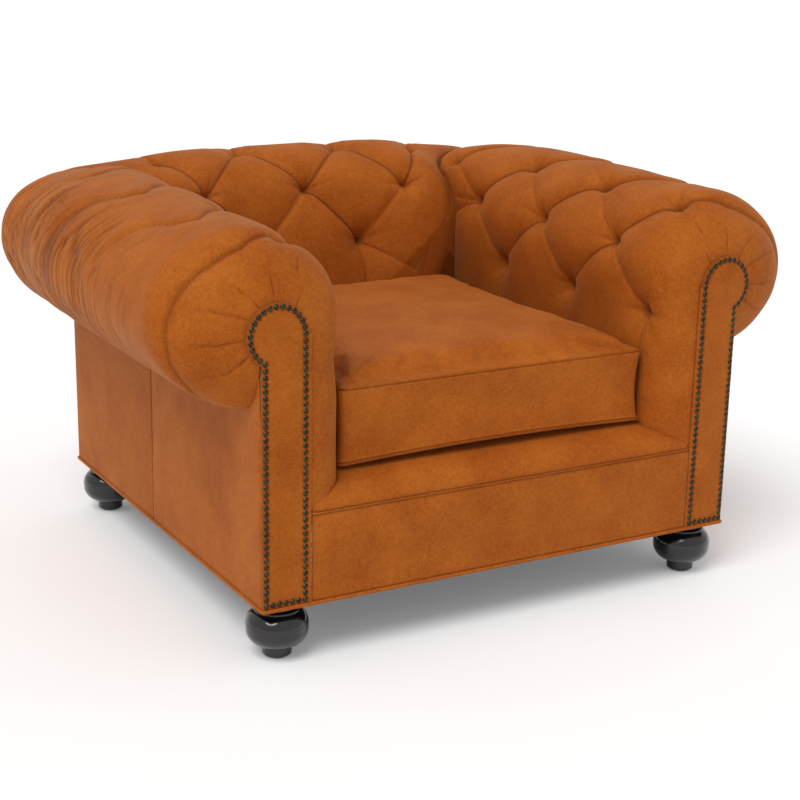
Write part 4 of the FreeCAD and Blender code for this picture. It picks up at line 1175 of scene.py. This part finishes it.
# Outside the arms' inner faces the wadding ends lower than between them.
lowered = np.where(np.abs(stuffed[:, :, 0]) > arm_roll["face"], 0.0165, 0.0)
stuffed[:, :, 2] -= lowered * (stuffed[:, :, 2] - border_foot) / (border_top - border_foot)
piece = hide_mesh("front_border_wadding", stuffed, wadding_thickness)
fitted(piece, stuffing, ["front_border_pad"])

# The piping, a covered cord from facing to facing.
x = np.linspace(-0.4155, 0.4155, 180)
path = np.stack([x, mid - 0.483 + 0.0002 * noise(x / 0.03, 0 * x, 73),
                 0.2770 + 0.0004 * noise(x / 0.05, 0 * x, 74)], axis=1)
piece = cord_mesh("front_border_piping", path, piping_radius, tall=1.05)
fitted(piece, leather, ["border_piping"])

# The lip's section from the piping back to the deck, smoothed, then cut off at the arm covers.
lip_spots = np.array([
    (-0.4862, 0.2795), (-0.4850, 0.2885), (-0.4760, 0.3060), (-0.4600, 0.3165), (-0.4400, 0.3225),
    (-0.4180, 0.3265), (-0.3950, 0.3290), (-0.3800, 0.3300)])
length = np.concatenate([[0], np.cumsum(np.linalg.norm(np.diff(lip_spots, axis=0), axis=1))])
at = np.linspace(0, length[-1], 46)
lip_section = [np.interp(at, length, lip_spots[:, k]) for k in (0, 1)]
for _ in range(6):
    lip_section = [np.concatenate([v[:1], (v[:-2] + 2 * v[1:-1] + v[2:]) / 4, v[-1:]]) for v in lip_section]
lip_y, lip_z = lip_section
arm_tree = BVHTree.FromObject(bpy.data.objects["arm_cover_right"], bpy.context.evaluated_depsgraph_get())
lip_half = []
for y, z in zip(lip_y, lip_z):
    hit = arm_tree.ray_cast(Vector((0.0, y + mid, z)), Vector((1, 0, 0)))[0]
    lip_half.append(min(hit.x + 0.0006, border_half) if hit else border_half)
lip_half = np.array(lip_half)
share = np.sin(np.linspace(-np.pi / 2, np.pi / 2, 200)) * 0.35 + np.linspace(-1, 1, 200) * 0.65
x = share[None] * lip_half[:, None]
down = np.linspace(0, 1, len(lip_y))[:, None]
near_end = np.exp(-(lip_half[:, None] - np.abs(x)) / 0.0045)
puff = 0.0015 * noise(x / 0.15, down * 1.3, 75) + 0.0006 * noise(x / 0.045, down * 2, 76)
puff = puff * np.sin(np.pi * down) - 0.0042 * near_end
lip = np.stack([x, 0 * x + (lip_y + mid)[:, None], 0 * x + lip_z[:, None]], axis=2)
lip = lip + outer_normals(lip, 30, 100, (0, 0, 1)) * puff[:, :, None]
# Painted shade where the lip meets the arm covers and along the piping.
lip_painted_shade = np.maximum(0.8 * np.exp(-(lip_half[:, None] - np.abs(x)) / 0.0028), 0.7 * np.exp(-down / 0.018))
lip = np.concatenate([lip[:1] + np.array([0, 0.0024, -0.0004]), lip])
lip_painted_shade = np.concatenate([lip_painted_shade[:1], lip_painted_shade])
lip, lip_painted_shade = turned_out(lip, lip_painted_shade, 30, 100, (0, 0, 1))
piece = hide_mesh("front_lip_leather", lip, panel_thickness, lip_painted_shade)
fitted(piece, leather, ["lip_cover"])
rings = []
for share in np.linspace(-1, 1, 25):
    crest = np.stack([
        share * (lip_half[2::3] - 0.006), lip_y[2::3] + mid + 0.002, lip_z[2::3] - 0.0045], axis=1)
    hidden = [(-0.3805, 0.3255), (-0.3805, 0.2605), (-0.4775, 0.2605)]
    rings.append(np.concatenate([crest, [[share * 0.325, y + mid, z] for y, z in hidden]]))
piece = pad_mesh("front_lip_foam", rings)
fitted(piece, stuffing, ["lip_foam"])


# The outer covers, plain leather tacked on below the rolls: two lengths on each side with an
# upright seam between them, one across the back, and a flat welt round the foot of the base.
cover_top = 0.560
side_seam = 0.030
side_plane = 0.5095
outer_thickness = 0.0016
base_welt_radius = 0.0024


def panel(name, stands_for, plan, tops, seams, seed, mirror=False):
    """Upright panel along a plan line, its turned-in ends where seams says, soft waves in it."""
    plan = np.asarray(plan, dtype=float)
    length = np.concatenate([[0], np.cumsum(np.linalg.norm(np.diff(plan, axis=0), axis=1))])
    rise = np.linspace(0, 1, 110)[:, None]
    z = border_foot + (np.interp(length, *tops) - border_foot)[None] * rise
    ahead = np.gradient(plan, axis=0)
    ahead /= np.linalg.norm(ahead, axis=1, keepdims=True)
    out = np.stack([ahead[:, 1], -ahead[:, 0], 0 * length], axis=1)
    held = np.sin(np.pi * rise) ** 0.5 * soft_step(length / 0.05) * soft_step((length[-1] - length) / 0.05)
    waves = 0.0020 + 0.0017 * noise(length[None] / 0.22 + seed, z / 0.24, seed) + 0.0006 * noise(
        length[None] / 0.07, z / 0.20, seed + 1)
    points = np.concatenate([np.broadcast_to(plan[None], z.shape + (2,)), z[:, :, None]], axis=2)
    points = points + out[None] * (waves * held + 0.0006)[:, :, None]
    # Painted shade in the welt groove and at the turned-in seams.
    fold = 0.75 * np.exp(-np.abs(z - welt_groove) / 0.0011)
    gap = np.minimum(*(np.abs(length - at) + 9.0 * (not turned)
                       for at, turned in zip((0, length[-1]), seams)))
    fold = np.maximum(fold, 0.8 * np.exp(-gap / 0.0016)[None] * np.ones_like(z))
    drop = 0.0024 * np.exp(-(gap / 0.0018) ** 2) + 0.0010 * np.exp(-gap / 0.008)
    points = points - out[None] * (drop[None] * np.ones_like(z))[:, :, None]
    column = points.shape[1] // 2
    points, fold = turned_out(points, fold, 50, column, points[50, column] * (1, 1, 0) - (0, mid, 0))
    piece = hide_mesh(name, points, outer_thickness, fold, mirror)
    fitted(piece, leather, stands_for)


def bend(cx, cy, radius, start, end):
    """Points round a corner of a plan line."""
    turn = np.radians(np.linspace(start, end, 9))
    return [(cx + radius * np.cos(t), cy + radius * np.sin(t)) for t in turn]


def straight(a, b, step=0.0045):
    """Points on a straight stretch of a plan line, without its last one."""
    count = max(2, int(math.hypot(b[0] - a[0], b[1] - a[1]) / step))
    return [(a[0] + (b[0] - a[0]) * i / count, a[1] + (b[1] - a[1]) * i / count) for i in range(count)]


# The panels' plan lines: round the front corner to the seam, on to the rear corner, and across.
front_face, rear_face, seam = mid - 0.4797, mid + 0.4858, mid + side_seam
front_plan = straight((0.418, front_face), (0.503, front_face))
front_plan += bend(0.5050, front_face + 0.0045, 0.0045, -90, 0)
front_plan += straight((side_plane, front_face + 0.006), (side_plane, seam - 0.004))
front_plan += straight((side_plane, seam - 0.004), (side_plane, seam), 0.0005)
rear_plan = straight((side_plane, seam), (side_plane, seam + 0.004), 0.0005)
rear_plan += straight((side_plane, seam + 0.004), (side_plane, mid + 0.479))
rear_plan += bend(0.5040, mid + 0.4800, 0.0055, 0, 88)
back_plan = straight((0.5030, rear_face), (0.4990, rear_face), 0.0005)
back_plan += straight((0.4990, rear_face), (-0.4990, rear_face))
back_plan += straight((-0.4990, rear_face), (-0.5035, rear_face), 0.0005)
level = ([0, 1], [cover_top] * 2)
under_facing = ([0, 0.083, 0.094], [0.241, 0.241, cover_top])
for side, mirror in (("left", True), ("right", False)):
    for part, plan, tops, seams, seed in (("front_", front_plan, under_facing, (False, True), 81),
                                          ("rear_", rear_plan, level, (True, False), 84)):
        panel("outer_arm_leather_" + part + side, ["outer_arm_cover_" + part + side], plan, tops, seams,
              seed + mirror * 7, mirror)
panel("outer_back_leather", ["outer_back_cover"], back_plan, level, (True, True), 97)

# The welt round the foot of the base.
outline = rounded_rectangle(base_half_width + 0.0008, base_half_depth + 0.0008, 0.0045)
stretches = []
for a, b in zip(outline, outline[1:]):
    count = max(1, int(math.hypot(*(b - a)) / 0.012))
    stretches.append(a + (b - a) * np.arange(count)[:, None] / count)
outline = np.concatenate(stretches)
path = np.concatenate([outline + np.array([0, mid]), np.full((len(outline), 1), 0.1107)], axis=1)
piece = cord_mesh("base_welt_leather", path, base_welt_radius, closed=True, sides=14, tall=1.5)
fitted(piece, leather, ["base_welt"])


# What lies under the cushion and inside the base: the deck's foam and cloth, burlap over the
# springs, webbing behind the arms and the back, the tufts' twines and the dust cover below.
def woven_finish(name, pale, dark, scale, relief):
    """Plain weave: two sets of threads over and under each other."""
    material, shader, place = new_finish(name, Roughness=0.9, Specular_IOR_Level=0.15)
    warp, weft = (place.node("ShaderNodeTexWave", {"bands_direction": way}, {
        "Vector": place, "Scale": scale, "Distortion": 0.6}) for way in "XY")
    threads = warp * weft * 0.6 + place.speckled(scale * 1.6, 3.0) * 0.4
    feed(shader, "Base Color", threads.mixed(dark, pale))
    bumped(shader, threads, relief)
    return material


jute = woven_finish("jute", (0.36, 0.24, 0.12), (0.19, 0.12, 0.055), 170.0, 0.0008)
deck_cloth = woven_finish("deck_cloth", (0.38, 0.13, 0.035), (0.21, 0.065, 0.016), 300.0, 0.0004)
dust_cloth = woven_finish("dust_cloth", (0.020, 0.020, 0.020), (0.006, 0.006, 0.006), 420.0, 0.0002)
cloth_thickness, webbing_thickness, twine_radius = 0.0009, 0.0010, 0.0009


def laid_cloth(name, node, finish, waves, seed):
    """Sheet that fills its CAD piece's box, pulled tight but not dead flat."""
    low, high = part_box(node)
    x = np.linspace(low.x + 0.001, high.x - 0.001, 90)[None]
    y = np.linspace(low.y + 0.001, high.y - 0.001, 90)[:, None]
    edge = np.minimum(np.minimum(x - low.x, high.x - x), np.minimum(y - low.y, high.y - y))
    z = high.z - waves - 0.0002 + waves * noise(x / 0.12, y / 0.12, seed) * soft_step(edge / 0.06)
    points = np.stack([x + 0 * y, y + 0 * x, z], axis=2)[:, ::-1]
    piece = hide_mesh(name, points, cloth_thickness)
    fitted(piece, finish, [node])


laid_cloth("deck_cloth_sheet", "deck_cover", deck_cloth, 0.0004, 101)
laid_cloth("burlap_sheet", "seat_burlap", jute,
           0.0001, 102)
laid_cloth("dust_cloth_sheet", "dust_cover", dust_cloth,
           0.0004, 103)

# The deck's foam: its upper edges are rounded by the cloth over it, and it sinks at both ends.
low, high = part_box("deck_foam")
rounded = ((0.001, 0.010), (0.004, 0.0035), (0.010, 0.0016))
section = [(high.x - inset, high.z - drop) for inset, drop in rounded]
section += [(x, high.z - 0.0016) for x in np.linspace(high.x - 0.03, low.x + 0.03, 20)]
section += [(low.x + inset, high.z - drop) for inset, drop in rounded[::-1]]
section += [(low.x + 0.001, low.z), (high.x - 0.001, low.z)]
rings = []
for share in np.linspace(0, 1, 25):
    sunk_end = 0.004 * math.cos(min(1.0, min(share, 1 - share) * 12) * math.pi / 2)
    y = low.y + (high.y - low.y) * share
    rings.append([(x, y, max(z - sunk_end * (z > low.z + 0.001), low.z)) for x, z in section])
piece = pad_mesh("deck_padding", rings)
fitted(piece, stuffing, ["deck_foam"])


# Webbing: one strap to each strip of the CAD piece, tacked to the rails above and below.
for number, part in enumerate(loose_parts("webbing")):
    low, high = part.min(axis=0), part.max(axis=0)
    thin_axis, wide_axis = (0, 1) if high[0] - low[0] < high[1] - low[1] else (1, 0)
    across = np.linspace(low[wide_axis], high[wide_axis], 15)[None]
    strap = np.zeros((60, 15, 3))
    strap[:, :, wide_axis] = across
    strap[:, :, 2] = np.linspace(low[2], high[2], 60)[:, None]
    strap[:, :, thin_axis] = (low[thin_axis] + high[thin_axis]) / 2 + 0.0003 * np.cos(across / 0.07 * 6)
    piece = hide_mesh("webbing_strap_%d" % (number + 1), strap, webbing_thickness)
    fitted(piece, jute, ["webbing"])
    high[wide_axis] - low[wide_axis]
    high[2] - low[2]

# Twines: one pull along the length of each tie.
for number, part in enumerate(loose_parts("tuft_ties")):
    middle = part.mean(axis=0)
    axis = np.linalg.svd(part - middle)[2][0]
    reach = (part - middle) @ axis
    path = middle + np.linspace(reach.min() + 0.001, reach.max() - 0.001, 24)[:, None] * axis
    piece = cord_mesh("tuft_twine_%d" % (number + 1), path, twine_radius, sides=8)
    fitted(piece, jute, ["tuft_ties"])


# Finishes of the hard pieces, which keep their CAD shapes: the hardwood frame, the plywood
# behind the facings, the lacquered feet, the nails, the zip's slider and the steel parts.
def wood_finish(name, pale, dark, rings_scale):
    """Planed wood with long streaks and open pores."""
    material, shader, place = new_finish(name, Roughness=0.55, Specular_IOR_Level=0.35)
    drawn = place.node("ShaderNodeMapping", {}, {"Vector": place, "Scale": (1.0, 0.16, 1.0)})
    pores = drawn.speckled(rings_scale * 18)
    streaks = drawn.speckled(rings_scale, 5.0, Distortion=0.7)
    feed(shader, "Base Color", (streaks * 0.75 + pores * 0.25).band(0.3, 0.7).mixed(dark, pale))
    bumped(shader, pores, 0.0002)
    return material


def metal_finish(name, colour, worn, rough, coarse):
    """Metal with a patina: duller and darker where it isn't rubbed."""
    material, shader, place = new_finish(name, Metallic=1.0)
    patina = place.speckled(coarse, 4.0)
    feed(shader, "Base Color", patina.band(0.35, 0.65).mixed(colour, worn))
    feed(shader, "Roughness", patina * 0.25 + rough)
    bumped(shader, patina, 0.00015)
    return material


lacquer, shader, place = new_finish(
    "foot_lacquer", Specular_IOR_Level=0.5, Coat_Weight=0.6, Coat_Roughness=0.04)
dust = place.speckled(40.0, 3.0)
feed(shader, "Base Color", dust.mixed((0.0035, 0.0034, 0.0036), (0.0065, 0.0062, 0.0060)))
feed(shader, "Roughness", dust * 0.12 + 0.10)
glide, shader, place = new_finish("glide_plastic", Specular_IOR_Level=0.4)
scuffs = place.speckled(220.0, 3.0)
feed(shader, "Base Color", scuffs.mixed((0.008, 0.008, 0.008), (0.022, 0.022, 0.022)))
feed(shader, "Roughness", scuffs * 0.3 + 0.4)
finishes = {
    "leather": leather, "foam": stuffing, "jute": jute, "deck_cloth": deck_cloth, "dust_cloth": dust_cloth,
    "zip_cloth": zip_cloth, "foot_wood": lacquer, "glide_plastic": glide,
    "frame_wood": wood_finish("frame_wood", (0.50, 0.32, 0.15), (0.30, 0.16, 0.065), 22.0),
    "plywood": wood_finish("plywood", (0.62, 0.43, 0.24), (0.42, 0.26, 0.12), 30.0),
    "nail_bronze": metal_finish("nail_bronze", (0.030, 0.032, 0.022), (0.085, 0.075, 0.045), 0.22, 160.0),
    "antique_brass": metal_finish("antique_brass", (0.16, 0.10, 0.035), (0.42, 0.29, 0.12), 0.22, 190.0),
    "steel": metal_finish("steel", (0.30, 0.30, 0.31), (0.46, 0.46, 0.47), 0.25, 70.0),
}
for subpart in frame["record"]["subparts"]:
    shape = frame["nodes"][subpart["node"]].data
    shape.materials.clear()
    shape.materials.append(finishes[subpart["material_slot"]])
